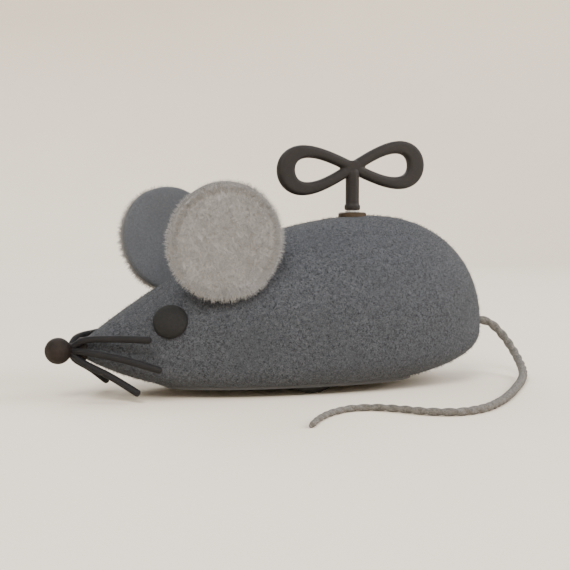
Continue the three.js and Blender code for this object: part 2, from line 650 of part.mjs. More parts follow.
// A spur gear's outline with a tooth centred on the angle phase.
function gearOutline(teeth, addendum, phase) {
  const pitch = (GEAR_MODULE * teeth) / 2;
  const base = pitch * Math.cos(PRESSURE);
  const tip = pitch + addendum * GEAR_MODULE;
  const root = pitch - 1.3 * GEAR_MODULE;
  const halfTooth = Math.PI / (2 * teeth) - BACKLASH / (4 * pitch);
  const flank = (radius) =>
    halfTooth + involute(PRESSURE) - (radius > base ? involute(Math.acos(base / radius)) : 0);
  const start = Math.max(base, root);
  const radii = [root, start, tip];
  const points = [];
  for (let i = 0; i < teeth; i++) {
    const middle = phase + (2 * Math.PI * i) / teeth;
    for (const radius of radii) points.push(polar(radius, middle - flank(radius)));
    for (const radius of [...radii].reverse()) points.push(polar(radius, middle + flank(radius)));
  }
  return new THREE.Shape(points);
}

const polar = (radius, angle) =>
  new THREE.Vector2(radius * Math.cos(angle), radius * Math.sin(angle));

function withBore(outline, radius, sides = 16) {
  const hole = [];
  for (let i = 0; i < sides; i++) hole.push(polar(radius, (-2 * Math.PI * i) / sides));
  outline.holes.push(new THREE.Path(hole));
  return outline;
}

// Holes that lighten a wheel, evenly spaced on a circle.
function withWindows(outline, count, circle, radius) {
  for (let i = 0; i < count; i++) {
    const middle = polar(circle, (2 * Math.PI * (i + 0.5)) / count);
    const hole = [];
    for (let k = 0; k < 8; k++) hole.push(polar(radius, (-2 * Math.PI * k) / 8).add(middle));
    outline.holes.push(new THREE.Path(hole));
  }
  return outline;
}

function greatWheel() {
  const outline = gearOutline(GREAT_TEETH, SHORT_ADDENDUM, Math.PI);
  return slab(withBore(outline, ARBOR_RADIUS + RUNNING_GAP), GREAT_WHEEL_Z,
    GREAT_WHEEL_Z + GEAR_SHEET);
}

function trainPinion() {
  const outline = gearOutline(PINION_TEETH, 1, Math.PI / PINION_TEETH);
  return slab(withBore(outline, PIVOT_RADIUS + TOUCH_GAP, 12), GREAT_WHEEL_Z - STACK_GAP,
    GREAT_WHEEL_Z + GEAR_SHEET + STACK_GAP / 2);
}

function axlePinion() {
  const outline = gearOutline(PINION_TEETH, 1, Math.PI / 2 + Math.PI / PINION_TEETH);
  return slab(withBore(outline, AXLE_RADIUS + TOUCH_GAP, 12), -PINION_FACE / 2, PINION_FACE / 2);
}

// A crown wheel pressed from sheet: a disc whose rim is bent down into teeth.
function crownWheel() {
  const toothSheet = 0.6;
  const halfAtPitch = (Math.PI * GEAR_MODULE) / 4 - BACKLASH / 2;
  const tipDrop = CROWN_DISC_Z - CROWN_PITCH_Z + SHORT_ADDENDUM * GEAR_MODULE;
  const rootDrop = CROWN_DISC_Z - CROWN_PITCH_Z;
  const halfAtTip = halfAtPitch - SHORT_ADDENDUM * GEAR_MODULE * Math.tan(PRESSURE);
  const halfAtRoot = halfAtPitch + rootDrop * Math.tan(PRESSURE);
  const tooth = new THREE.Shape([
    new THREE.Vector2(-halfAtTip, -tipDrop), new THREE.Vector2(halfAtTip, -tipDrop),
    new THREE.Vector2(halfAtRoot, 0), new THREE.Vector2(halfAtRoot, GEAR_SHEET / 2),
    new THREE.Vector2(-halfAtRoot, GEAR_SHEET / 2), new THREE.Vector2(-halfAtRoot, 0)]);
  const discOutline = withWindows(
    withBore(roundSection(CROWN_PITCH + toothSheet / 2, 2 * CROWN_TEETH), PIVOT_RADIUS + TOUCH_GAP),
    4, CROWN_PITCH * 0.58, 1.2);
  let wheel = solidOf(slab(discOutline, CROWN_DISC_Z, CROWN_DISC_Z + GEAR_SHEET));
  for (let i = 0; i < CROWN_TEETH; i++) {
    const one = new THREE.ExtrudeGeometry(tooth, { depth: toothSheet, bevelEnabled: false })
      .translate(0, 0, -toothSheet / 2).rotateX(Math.PI / 2)
      .translate(0, -CROWN_PITCH, CROWN_DISC_Z).rotateZ((2 * Math.PI * i) / CROWN_TEETH);
    wheel = wheel.add(solidOf(one));
  }
  return geometryOf(wheel);
}

// Saw teeth, so that the wheel pushes the click one way and slips past it the other way.
function ratchetWheel() {
  const points = [];
  for (let i = 0; i < RATCHET_TEETH; i++) {
    const start = (2 * Math.PI * i) / RATCHET_TEETH;
    const pitch = (2 * Math.PI) / RATCHET_TEETH;
    points.push(polar(RATCHET_ROOT, start), polar((RATCHET_ROOT + RATCHET_TIP) / 2, start + pitch / 2),
      polar(RATCHET_TIP, start + pitch * 0.97));
  }
  return slab(withBore(new THREE.Shape(points), ARBOR_RADIUS + TOUCH_GAP), RATCHET_Z,
    RATCHET_Z + GEAR_SHEET);
}

// The click: a lever on a stud of the great wheel, whose nose drops behind a ratchet tooth.
const clickPivot = polar(CLICK_REACH, radians(CLICK_ANGLE));

function clickLever() {
  const nose = polar(RATCHET_TIP + 0.25, radians(10));
  const heel = polar(RATCHET_TIP + 1.5, radians(12));
  const lever = new THREE.Shape([
    nose, heel, polar(7.2, radians(52)), polar(7.6, radians(66)), polar(6.6, radians(76)),
    polar(5.1, radians(68)), polar(5, radians(40))]);
  const hole = roundSection(CLICK_STUD_RADIUS + RUNNING_GAP, 12).getPoints().reverse();
  lever.holes.push(new THREE.Path(hole.map((p) => p.clone().add(clickPivot))));
  return slab(lever, RATCHET_Z, RATCHET_Z + GEAR_SHEET);
}

function clickStud() {
  return bar(CLICK_STUD_RADIUS, GREAT_WHEEL_Z + GEAR_SHEET, RATCHET_Z + GEAR_SHEET + 0.3, 12)
    .translate(clickPivot.x, clickPivot.y, 0);
}

// A bent wire that presses the click towards the ratchet. It is staked in the great wheel.
function clickSpring() {
  const height = RATCHET_Z + GEAR_SHEET / 2;
  const turns = [-62, -40, -18, 4].map((angle, i) => {
    const p = polar(6.6 + 0.15 * i, radians(angle));
    return new THREE.Vector3(p.x, p.y, height);
  });
  const foot = turns[0].clone().setZ(GREAT_WHEEL_Z + GEAR_SHEET + 0.05);
  const stake = bar(0.35, foot.z, height + 0.2, 8).translate(foot.x, foot.y, 0);
  return joined(swept(new THREE.CatmullRomCurve3(turns), 0.25, 6, 10), stake);
}

// ---------------------------------------------------------------- movement

// A flat strip on edge along a line of points, between two heights.
function strip(line, sheet, bottom, top) {
  const edge = (offset) => line.map((point, i) => {
    const before = line[Math.max(0, i - 1)];
    const after = line[Math.min(line.length - 1, i + 1)];
    const along = after.clone().sub(before).normalize();
    return new THREE.Vector2(along.y, -along.x).multiplyScalar(offset).add(point);
  });
  return slab(new THREE.Shape([...edge(sheet / 2), ...edge(-sheet / 2).reverse()]), bottom, top);
}

// The mainspring winds outwards from the arbor, and its outer end is hooked round a rear pillar.
function mainspring() {
  const inner = ARBOR_RADIUS + STACK_GAP + SPRING_SHEET / 2;
  const hook = PILLAR_RADIUS + STACK_GAP + SPRING_SHEET / 2;
  const post = new THREE.Vector2(pillarReach(rearPillarY), rearPillarY);
  const leave = post.angle() - Math.acos((SPRING_RADIUS - hook) / post.length());
  const last = 2 * Math.PI * SPRING_TURNS + leave;
  const steps = 16 * SPRING_TURNS;
  const line = [];
  for (let i = 0; i <= steps; i++)
    line.push(polar(inner + ((SPRING_RADIUS - inner) * i) / steps, (last * i) / steps));
  for (let angle = leave; angle < leave + radians(260); angle += radians(30))
    line.push(polar(hook, angle).add(post));
  return strip(line, SPRING_SHEET, SPRING_Z, SPRING_Z + SPRING_HEIGHT);
}

function windingArbor() {
  const top = keyStemZ + KEY_SOCKET_DEPTH - FIT_GAP;
  const pivot = bar(PIVOT_RADIUS, LOWER_PLATE_Z - 0.4, GREAT_WHEEL_Z, 16);
  const shaft = bar(ARBOR_RADIUS, LOWER_PLATE_Z + MOVEMENT_SHEET + TOUCH_GAP, keyStemZ - 0.1, 16);
  const square = block(0, 0, KEY_SQUARE, KEY_SQUARE, keyStemZ - 1, top);
  return joined(pivot, shaft, square);
}

function crownArbor() {
  const shoulder = LOWER_PLATE_Z + MOVEMENT_SHEET + TOUCH_GAP;
  const shaft = bar(PIVOT_RADIUS, CROWN_DISC_Z - STACK_GAP, MOVEMENT_TOP + 0.4, 16);
  const collar = bar(PIVOT_RADIUS + 0.8, shoulder, GREAT_WHEEL_Z - STACK_GAP - TOUCH_GAP, 16);
  const collet = bar(PIVOT_RADIUS + 1.1, CROWN_DISC_Z + GEAR_SHEET + TOUCH_GAP,
    LOWER_PLATE_Z - RUNNING_GAP, 16);
  const upper = bar(PIVOT_RADIUS + 0.5, GREAT_WHEEL_Z + GEAR_SHEET + STACK_GAP,
    UPPER_PLATE_Z - RUNNING_GAP, 16);
  return joined(shaft, collar, collet, upper);
}

const plateReach = PILLAR_RADIUS + PLATE_MARGIN;
const upperFront = AXLE_STATION - plateReach;
const frontHalf = roomAt(upperFront, MOVEMENT_TOP);
const rearHalf = Math.min(
  frontHalf, roomAt(KEY_STATION + PILLAR_CIRCLE + plateReach, MOVEMENT_TOP));
const frontPillarY = frontHalf - plateReach;
const rearPillarY = rearHalf - plateReach;
// How far along X a pillar stands from the winding axis, so that it just clears the great wheel.
const pillarReach = (y) => Math.sqrt(Math.max(0, PILLAR_CIRCLE ** 2 - y ** 2));
const frontPillarStation = KEY_STATION - pillarReach(frontPillarY);
const rearPillarStation = KEY_STATION + pillarReach(rearPillarY);
const rearPostY = Math.min(WHEEL_Y - POST_RADIUS,
  halfWidthAt(REAR_POST_STATION, FLOOR_OF_SHELL) - tabLeafInset - SCREW_HEAD_RADIUS - FIT_GAP);

const pillarPlaces = {
  front_left: [atStation(frontPillarStation), -frontPillarY],
  front_right: [atStation(frontPillarStation), frontPillarY],
  rear_left: [atStation(rearPillarStation), -rearPillarY],
  rear_right: [atStation(rearPillarStation), rearPillarY],
};
const postPlaces = {
  front: [atStation(FRONT_POST_STATION), 0],
  rear_left: [atStation(REAR_POST_STATION), -rearPostY],
  rear_right: [atStation(REAR_POST_STATION), rearPostY],
};

// A movement plate: a rounded lozenge with bores for the arbors and for the pillars' spigots.
function movementPlate(bottom, front, windingBore, crownBore, spigots) {
  const corners = [
    [front, -frontHalf + PLATE_CORNER], [front + PLATE_CORNER, -frontHalf],
    [frontPillarStation + plateReach, -frontHalf],
    [rearPillarStation + plateReach - PLATE_CORNER, -rearHalf],
    [rearPillarStation + plateReach, -rearHalf + PLATE_CORNER]];
  const near = corners.map(([station, y]) => new THREE.Vector2(atStation(station), y));
  const far = near.map((p) => new THREE.Vector2(p.x, -p.y)).reverse();
  const top = bottom + MOVEMENT_SHEET;
  const bore = (x, y, radius) => bar(radius, bottom - 1, top + 1, 16).translate(x, y, 0);
  return cut(slab(new THREE.Shape([...near, ...far]), bottom, top),
    bore(atStation(KEY_STATION), 0, windingBore), bore(atStation(AXLE_STATION), 0, crownBore),
    ...spigots.map(([x, y]) => bore(x, y, PILLAR_RADIUS / 2 + TOUCH_GAP)));
}

// A pillar with a thinner spigot at each end that is riveted over.
function pillar(bottom, top, radius, lowerSpigot, upperSpigot) {
  const thin = PILLAR_RADIUS / 2;
  return joined(bar(radius, bottom, top, 14), bar(thin, bottom - lowerSpigot, top + upperSpigot, 12));
}

// A base post: riveted into the lower plate, and drilled from below for its screw.
function basePost() {
  const post = pillar(BASE_TOP, LOWER_PLATE_Z, POST_RADIUS, 0, MOVEMENT_SHEET * 0.9);
  return cut(post, bar(SCREW_RADIUS + TOUCH_GAP, BASE_TOP - 1, BASE_TOP + 4, 12));
}

function baseScrew() {
  const shank = bar(SCREW_RADIUS, GROUND_GAP - 0.2, BASE_TOP + 3.6, 12);
  const head = bar(SCREW_HEAD_RADIUS, GROUND_GAP - SCREW_HEAD_HEIGHT - TOUCH_GAP,
    GROUND_GAP - TOUCH_GAP, 16);
  const slot = block(0, 0, 3 * SCREW_HEAD_RADIUS, 0.45, 0, GROUND_GAP - SCREW_HEAD_HEIGHT * 0.6);
  return cut(joined(shank, head), slot);
}

// An upright bearing plate with two feet bent inwards. The axle runs along Y through the origin.
function axleBracket(side) {
  const foot = BASE_TOP - AXLE_Z;
  const half = PINION_TIP + FOOT_WIDTH + FIT_GAP;
  const outline = new THREE.Shape();
  outline.moveTo(-half, foot);
  outline.lineTo(half, foot);
  outline.lineTo(half, foot + BRACKET_SHEET);
  outline.absarc(0, 0, BRACKET_EYE_RADIUS, 0, Math.PI, false);
  outline.lineTo(-half, foot + BRACKET_SHEET);
  outline.closePath();
  const face = withBore(new THREE.Shape(outline.getPoints(6)), AXLE_RADIUS + RUNNING_GAP);
  const upright = slab(face, 0, BRACKET_SHEET).rotateX(Math.PI / 2).translate(0, BRACKET_SHEET, 0);
  const feet = [-1, 1].map((end) => block(end * (half - FOOT_WIDTH / 2),
    (BRACKET_SHEET - FOOT_REACH) / 2, FOOT_WIDTH, BRACKET_SHEET + FOOT_REACH, foot,
    foot + BRACKET_SHEET));
  return joined(upright, ...feet).rotateZ(side > 0 ? 0 : Math.PI);
}

// The drive wheel turned about Z, with its outer side up.
function driveWheel() {
  const rim = WHEEL_RADIUS - TYRE_DEPTH;
  const bore = AXLE_RADIUS + TOUCH_GAP;
  const web = WHEEL_WIDTH * 0.35;
  return turned([
    [bore, 0], [HUB_RADIUS, 0], [HUB_RADIUS, web], [rim - RIM_SHEET, web], [rim - RIM_SHEET, 0.2],
    [rim, 0.2], [rim, WHEEL_WIDTH - 0.2], [rim - RIM_SHEET, WHEEL_WIDTH - 0.2],
    [rim - RIM_SHEET, 2 * web], [HUB_RADIUS, 2 * web], [HUB_RADIUS, WHEEL_WIDTH],
    [bore, WHEEL_WIDTH], [bore, 0]], 20);
}

function tyre() {
  const rim = WHEEL_RADIUS - TYRE_DEPTH + TOUCH_GAP;
  const shoulder = WHEEL_RADIUS - 0.35;
  return turned([
    [rim, 0.1], [shoulder, 0.1], [WHEEL_RADIUS, 0.6], [WHEEL_RADIUS, WHEEL_WIDTH - 0.6],
    [shoulder, WHEEL_WIDTH - 0.1], [rim, WHEEL_WIDTH - 0.1], [rim, 0.1]], 28);
}

function roller() {
  const half = ROLLER_WIDTH / 2;
  const bore = ROLLER_PIN_RADIUS + RUNNING_GAP;
  return turned([
    [bore, -half], [ROLLER_RADIUS - 0.5, -half], [ROLLER_RADIUS, -half + 0.6],
    [ROLLER_RADIUS, half - 0.6], [ROLLER_RADIUS - 0.5, half], [bore, half], [bore, -half]], 24);
}

// The roller's fork: a cheek on each side, joined by a bridge over the roller.
function rollerFork() {
  const cheekY = ROLLER_WIDTH / 2 + WELL_GAP + BRACKET_SHEET / 2;
  const bridgeZ = 2 * ROLLER_RADIUS + WELL_GAP;
  const cheeks = [-1, 1].map((side) =>
    block(0, side * cheekY, 4, BRACKET_SHEET, BASE_TOP, bridgeZ + BRACKET_SHEET));
  const bridge = block(0, 0, 4, 2 * cheekY, bridgeZ, bridgeZ + BRACKET_SHEET);
  const feet = [-1, 1].map((side) => block(0, side * (cheekY + 1.2), 4, 2.4 + BRACKET_SHEET,
    BASE_TOP, BASE_TOP + BRACKET_SHEET * 0.8));
  const bore = bar(ROLLER_PIN_RADIUS + TOUCH_GAP, -2 * cheekY, 2 * cheekY, 12)
    .rotateX(Math.PI / 2).translate(0, 0, ROLLER_RADIUS);
  return cut(joined(...cheeks, bridge, ...feet), bore);
}

// ---------------------------------------------------------------- assembly

part("body_shell", bodyShell(), materials.flock, mouse);
part("base_plate", basePlate(Object.values(postPlaces)), materials.tinplate, mouse);
part("nose", nose(), materials.blackRubber, mouse, [atStation(0), 0, SNOUT_Z]);

const sides = { left: -1, right: 1 };
for (const [name, side] of Object.entries(sides)) {
  const index = (side + 1) / 2;
  part(`eye_${name}`, eye(eyeFrames[index]), materials.blackGloss, mouse);
  part(`ear_${name}`, ear(earFrames[index]), materials.earFelt, mouse);
  part(`ear_lining_${name}`, earLining(earFrames[index]), materials.earLining, mouse);
  WHISKERS.forEach((shape, i) =>
    part(`whisker_${name}_${i + 1}`, whisker(shape, side), materials.blackRubber, mouse,
      [atStation(0), 0, SNOUT_Z]));
}
part("tail_grommet", tailGrommet(), materials.blackRubber, mouse);
part("tail", tail(), materials.tailCord, mouse);

// Everything on the winding axis
const winding = groupAt(mouse, atStation(KEY_STATION), 0, 0);
part("key_bush", keyBush(), materials.brass, winding);
part("key_stem", keyStem(), materials.keyEnamel, winding);
part("key_bow", keyBow(), materials.keyEnamel, winding);
part("winding_arbor", windingArbor(), materials.steel, winding);
part("ratchet_wheel", ratchetWheel(), materials.steel, winding);
part("great_wheel", greatWheel(), materials.brass, winding);
part("click_lever", clickLever(), materials.steel, winding);
part("click_stud", clickStud(), materials.steel, winding);
part("click_spring", clickSpring(), materials.springSteel, winding);
part("mainspring", mainspring(), materials.springSteel, winding);

// Everything on the crown wheel's axis
const crown = groupAt(mouse, atStation(AXLE_STATION), 0, 0);
part("crown_arbor", crownArbor(), materials.steel, crown);
part("train_pinion", trainPinion(), materials.steel, crown);
part("crown_wheel", crownWheel(), materials.brass, crown);

// The frame of the movement
const spigotRoom = PIVOT_RADIUS + RUNNING_GAP;
part("lower_plate",
  movementPlate(LOWER_PLATE_Z, FRONT_POST_STATION - plateReach, spigotRoom, spigotRoom,
    [...Object.values(pillarPlaces), ...Object.values(postPlaces)]), materials.tinplate, mouse);
part("upper_plate",
  movementPlate(UPPER_PLATE_Z, upperFront, ARBOR_RADIUS + RUNNING_GAP, spigotRoom,
    Object.values(pillarPlaces)),
  materials.tinplate, mouse);
for (const [name, place] of Object.entries(pillarPlaces))
  part(`pillar_${name}`,
    pillar(LOWER_PLATE_Z + MOVEMENT_SHEET, UPPER_PLATE_Z, PILLAR_RADIUS, MOVEMENT_SHEET * 0.9,
      MOVEMENT_SHEET * 0.9), materials.steel, mouse, [...place, 0]);
for (const [name, place] of Object.entries(postPlaces)) {
  part(`base_post_${name}`, basePost(), materials.steel, mouse, [...place, 0]);
  part(`base_screw_${name}`, baseScrew(), materials.steel, mouse, [...place, 0]);
}

// The drive axle: its own Z lies along the mouse's Y
const axle = groupAt(mouse, atStation(AXLE_STATION), 0, AXLE_Z);
const axleEnd = WHEEL_Y + WHEEL_WIDTH + 0.2;
part("drive_axle", bar(AXLE_RADIUS, -axleEnd, axleEnd, 16).rotateX(Math.PI / 2), materials.steel, axle);
part("axle_pinion", axlePinion().rotateX(Math.PI / 2), materials.brass, axle, [0, AXLE_PINION_Y, 0]);
for (const [name, side] of Object.entries(sides)) {
  const turn = (side * -Math.PI) / 2;
  part(`axle_bracket_${name}`, axleBracket(side), materials.tinplate, axle, [0, side * BRACKET_Y, 0]);
  part(`drive_wheel_${name}`, driveWheel().rotateX(turn), materials.tinplate, axle,
    [0, side * WHEEL_Y, 0]);
  part(`tyre_${name}`, tyre().rotateX(turn), materials.blackRubber, axle, [0, side * WHEEL_Y, 0]);
}

// The free roller under the rump
const rear = groupAt(mouse, atStation(ROLLER_STATION), 0, 0);
const pinEnd = ROLLER_WIDTH / 2 + WELL_GAP + BRACKET_SHEET;
part("roller_fork", rollerFork(), materials.tinplate, rear);
part("roller_pin", bar(ROLLER_PIN_RADIUS, -pinEnd, pinEnd, 12).rotateX(Math.PI / 2),
  materials.steel, rear, [0, 0, ROLLER_RADIUS]);
part("rear_roller", roller().rotateX(Math.PI / 2), materials.blackRubber, rear, [0, 0, ROLLER_RADIUS]);

export default mouse;
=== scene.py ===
# %% [markdown]
# # A clockwork mouse
# This lesson dresses the working parts of a wind-up mouse: a flocked body, felt ears, a twisted cord for a
# tail and an enamelled key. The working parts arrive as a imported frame. Every piece made here is placed
# from that frame's own sizes and rides on one of its bodies, so the key, the wheels and the works still turn.

# %% Load the frame
import math
import random
import bmesh
import bpy
from mathutils import Matrix, Vector, noise


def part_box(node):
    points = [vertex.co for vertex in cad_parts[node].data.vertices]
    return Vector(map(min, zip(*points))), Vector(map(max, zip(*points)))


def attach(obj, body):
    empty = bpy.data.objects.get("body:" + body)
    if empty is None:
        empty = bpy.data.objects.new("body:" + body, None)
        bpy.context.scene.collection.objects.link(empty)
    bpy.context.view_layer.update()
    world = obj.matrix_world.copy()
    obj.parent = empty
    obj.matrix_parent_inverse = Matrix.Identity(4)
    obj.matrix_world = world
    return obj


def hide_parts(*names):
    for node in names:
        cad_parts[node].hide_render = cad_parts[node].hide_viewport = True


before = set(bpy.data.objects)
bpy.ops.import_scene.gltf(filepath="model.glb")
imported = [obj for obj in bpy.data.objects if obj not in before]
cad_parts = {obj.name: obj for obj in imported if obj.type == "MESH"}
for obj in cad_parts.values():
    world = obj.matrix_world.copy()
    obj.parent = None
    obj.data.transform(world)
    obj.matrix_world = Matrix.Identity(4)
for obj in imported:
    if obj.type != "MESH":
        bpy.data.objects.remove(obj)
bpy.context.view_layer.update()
MM = 0.001  # the frame is in metres, and a toy is easier to think about in millimetres

# %% [markdown]
# ## The camera
# The toy is looked at from its left side, a little from the front. The camera stands near and low, about as
# high as the ears, so that the far ear shows smaller beyond the near one and the floor still opens up below.

# %% Camera
CAMERA_AZIMUTH = math.radians(-26)
CAMERA_HEIGHT = math.radians(3)
CAMERA_DISTANCE = 215 * MM
CAMERA_TARGET = Vector((0.5, -3, 20)) * MM
LENS = 70  # millimetres on a 36 mm sensor

towards_camera = Vector((math.sin(CAMERA_AZIMUTH) * math.cos(CAMERA_HEIGHT),
                         -math.cos(CAMERA_AZIMUTH) * math.cos(CAMERA_HEIGHT),
                         math.sin(CAMERA_HEIGHT)))
camera = bpy.data.objects.new("camera", bpy.data.cameras.new("camera"))
bpy.context.scene.collection.objects.link(camera)
camera.location = CAMERA_TARGET + towards_camera * CAMERA_DISTANCE
camera.rotation_euler = towards_camera.to_track_quat("Z", "Y").to_euler()
camera.data.lens = LENS
camera.data.clip_start = 1 * MM
bpy.context.scene.camera = camera
print("camera at", [round(c, 3) for c in camera.location])

# %% [markdown]
# ## Paints made from nodes
# Every finish is a small network of nodes. Written out one by one they are hard to read, so a thin wrapper
# lets a value be used in a sum, and one method adds any other node. Everything is measured on the object
# itself in metres, so a pattern of 0.5 mm stays 0.5 mm and never slides when a part turns.

# %% A value that can be used in sums, and a paint that holds the nodes
MIX_SHARE, MIX_FIRST, MIX_SECOND, MIX_RESULT = 0, 6, 7, 2  # a colour mix's sockets, known by number only


class Value:
    def __init__(self, paint, socket):
        self.paint, self.socket = paint, socket

    def sum_with(self, kind, first, second):
        return self.paint.node("ShaderNodeMath", {"operation": kind}, {0: first, 1: second})

    def __add__(self, other): return self.sum_with("ADD", self, other)
    def __radd__(self, other): return self.sum_with("ADD", other, self)
    def __mul__(self, other): return self.sum_with("MULTIPLY", self, other)


class Paint:
    def __init__(self, name, **constants):
        self.material = bpy.data.materials.new(name)
        self.material.use_nodes = True
        self.tree = self.material.node_tree
        self.shader = self.tree.nodes["Principled BSDF"]
        for socket, constant in constants.items():
            self.shader.inputs[socket.replace("_", " ")].default_value = constant

    def node(self, kind, settings=None, values=None, output=0):
        """One node: its settings first, then its sockets. Gives back one of its outputs."""
        made = self.tree.nodes.new(kind)
        for name, setting in (settings or {}).items():
            setattr(made, name, setting)
        for name, value in (values or {}).items():
            self.feed(made.inputs[name], value)
        return Value(self, made.outputs[output])

    def feed(self, socket, value):
        if isinstance(value, Value):
            self.tree.links.new(value.socket, socket)
        else:
            socket.default_value = value

    def places(self, stretch=(1, 1, 1)):
        """Places on the object in metres, stretched along its axes."""
        where = self.node("ShaderNodeTexCoord", output="Object")
        return self.node("ShaderNodeMapping", {"vector_type": "TEXTURE"}, {"Vector": where, "Scale": stretch})

    def grain(self, size, detail=3, roughness=0.6, distortion=0.0, places=None):
        """Soft random grain from 0 to 1, with blobs of about this size in millimetres."""
        return self.node("ShaderNodeTexNoise", {"normalize": True}, {
            "Vector": places or self.places(), "Scale": 1 / (size * MM), "Detail": detail,
            "Roughness": roughness, "Distortion": distortion})

    def between(self, value, low, high):
        """0 below low, 1 above high, and smooth in between."""
        return self.node("ShaderNodeMapRange", {"interpolation_type": "SMOOTHSTEP"}, {
            "Value": value, "From Min": low, "From Max": high})

    def mixed(self, share, first, second):
        """Two colours mixed by a share."""
        colours = [c if isinstance(c, Value) else (*c, 1) for c in (first, second)]
        return self.node("ShaderNodeMix", {"data_type": "RGBA"}, {
            MIX_SHARE: share, MIX_FIRST: colours[0], MIX_SECOND: colours[1]}, output=MIX_RESULT)

    def bumped(self, height, depth):
        """A bump of this depth in millimetres."""
        return self.node("ShaderNodeBump", None, {"Height": height, "Distance": depth * MM, "Strength": 1.0})

    def finish(self, **links):
        for socket, value in links.items():
            self.feed(self.shader.inputs[socket.replace("_", " ")],
                      (*value, 1) if isinstance(value, tuple) else value)
        return self.material


print("paints are ready to be mixed")

# %% [markdown]
# ## The tail
# The tail is a cotton cord of two strands twisted together, thicker at the root than at the tip. It leaves
# the grommet straight, drops under its own weight and lies on the floor in a loose S. A plain tube would look
# like plastic. A curve with a section of two lobes, tilted a little more at every point, gives the twist as
# real shape, and the curve's own radius gives the taper.

# %% Tail: a route, sampled finely
TAIL_RADIUS = 0.95
TAIL_TIP_RADIUS = 0.5
TAIL_TAPER = 1.6  # a power: the cord thins late, near its tip
TAIL_PITCH = 5.0  # length of cord in which a strand goes once round
STEPS_PER_POINT = 16
SETTLING = 2.0  # height above the floor over which the thin end sinks to it
LIES = TAIL_RADIUS  # the height of the cord's middle where it lies on the floor
BODY_LENGTH = 86.0
NOSE_RADIUS = 2.4
# The tip of the snout. A station is a distance behind it.
SNOUT_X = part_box("nose")[0][0] / MM + 2 * NOSE_RADIUS
RUMP_X = SNOUT_X + BODY_LENGTH

# Distance behind the rump, distance to the right of the middle, and height.
tail_route = [
    (1.1, 0, 11.6), (3.4, 0, 11.4), (6.2, -0.6, 10.4), (8, -2.4, 8), (8.4, -5.4, 5.2), (7.2, -9.4, 2.9),
    (4.2, -14.4, 1.5), (-0.6, -20, LIES), (-6.8, -26.6, LIES), (-13.6, -33.4, LIES), (-20.6, -39.6, LIES),
    (-27.4, -44, LIES), (-33, -45, LIES), (-37.2, -42.4, LIES), (-39.8, -38.2, LIES), (-42.6, -34.8, LIES),
    (-46.8, -33.6, LIES), (-51.6, -35.6, LIES), (-56, -39.4, LIES), (-60, -44.2, LIES)]


def smooth_route(points, steps):
    """Points on one smooth curve through the given points, with the bends eased by their spacing."""
    points = [Vector(p) for p in points]
    ends = [points[0] * 2 - points[1]] + points + [points[-1] * 2 - points[-2]]
    fine = []
    for a, b, c, d in zip(ends, ends[1:], ends[2:], ends[3:]):
        t1 = (b - a).length ** 0.5
        t2 = t1 + (c - b).length ** 0.5
        t3 = t2 + (d - c).length ** 0.5
        for step in range(steps):
            t = t1 + (t2 - t1) * step / steps
            ab, bc, cd = a.lerp(b, t / t1), b.lerp(c, (t - t1) / (t2 - t1)), c.lerp(d, (t - t2) / (t3 - t2))
            fine.append(ab.lerp(bc, t / t2).lerp(bc.lerp(cd, (t - t1) / (t3 - t1)), (t - t1) / (t2 - t1)))
    return fine + [points[-1]]


tail_line = smooth_route([(RUMP_X + behind, y, z) for behind, y, z in tail_route], STEPS_PER_POINT)
walked = [0.0]
for here, ahead in zip(tail_line, tail_line[1:]):
    walked.append(walked[-1] + (ahead - here).length)
tail_radii = [TAIL_RADIUS + (TAIL_TIP_RADIUS - TAIL_RADIUS) * (w / walked[-1]) ** TAIL_TAPER for w in walked]
for point, radius in zip(tail_line, tail_radii):
    resting = max(0.0, 1 - (point.z - LIES) / SETTLING)  # the thin end lies lower than the thick one
    point.z -= (TAIL_RADIUS - radius) * min(1, resting)
print("tail", round(walked[-1], 1), "mm long")

# %% Tail: the twisted cord
def swept_mesh(name, line, radii, section=None, turns=None, closed=False, sides=6):
    """A mesh swept along a line in millimetres. The section is a ring of (x, y), or round if there is none."""
    curve = bpy.data.curves.new(name, "CURVE")
    curve.dimensions = "3D"
    curve.twist_mode = "MINIMUM"
    curve.use_fill_caps = not closed
    outline = None
    if section:
        ring = bpy.data.curves.new(name + "_section", "CURVE")
        spline = ring.splines.new("POLY")
        spline.points.add(len(section) - 1)
        for point, (x, y) in zip(spline.points, section):
            point.co = (x * MM, y * MM, 0, 1)
        spline.use_cyclic_u = True
        outline = bpy.data.objects.new(name + "_section", ring)
        curve.bevel_mode = "OBJECT"
        curve.bevel_object = outline
    else:
        curve.bevel_depth = MM
        curve.bevel_resolution = sides
    spline = curve.splines.new("POLY")
    spline.points.add(len(line) - 1)
    for index, point in enumerate(spline.points):
        point.co = (*(Vector(line[index]) * MM), 1)
        point.radius = radii[index]
        point.tilt = turns[index] if turns else 0
    spline.use_cyclic_u = closed
    holder = bpy.data.objects.new(name, curve)
    bpy.context.scene.collection.objects.link(holder)
    bpy.context.view_layer.update()
    mesh = bpy.data.meshes.new_from_object(holder.evaluated_get(bpy.context.evaluated_depsgraph_get()))
    bpy.data.objects.remove(holder)
    if outline:
        bpy.data.objects.remove(outline)
    form = bmesh.new()
    form.from_mesh(mesh)
    bpy.data.meshes.remove(mesh)
    bmesh.ops.remove_doubles(form, verts=form.verts, dist=0.002 * MM)
    bmesh.ops.recalc_face_normals(form, faces=form.faces)
    return form


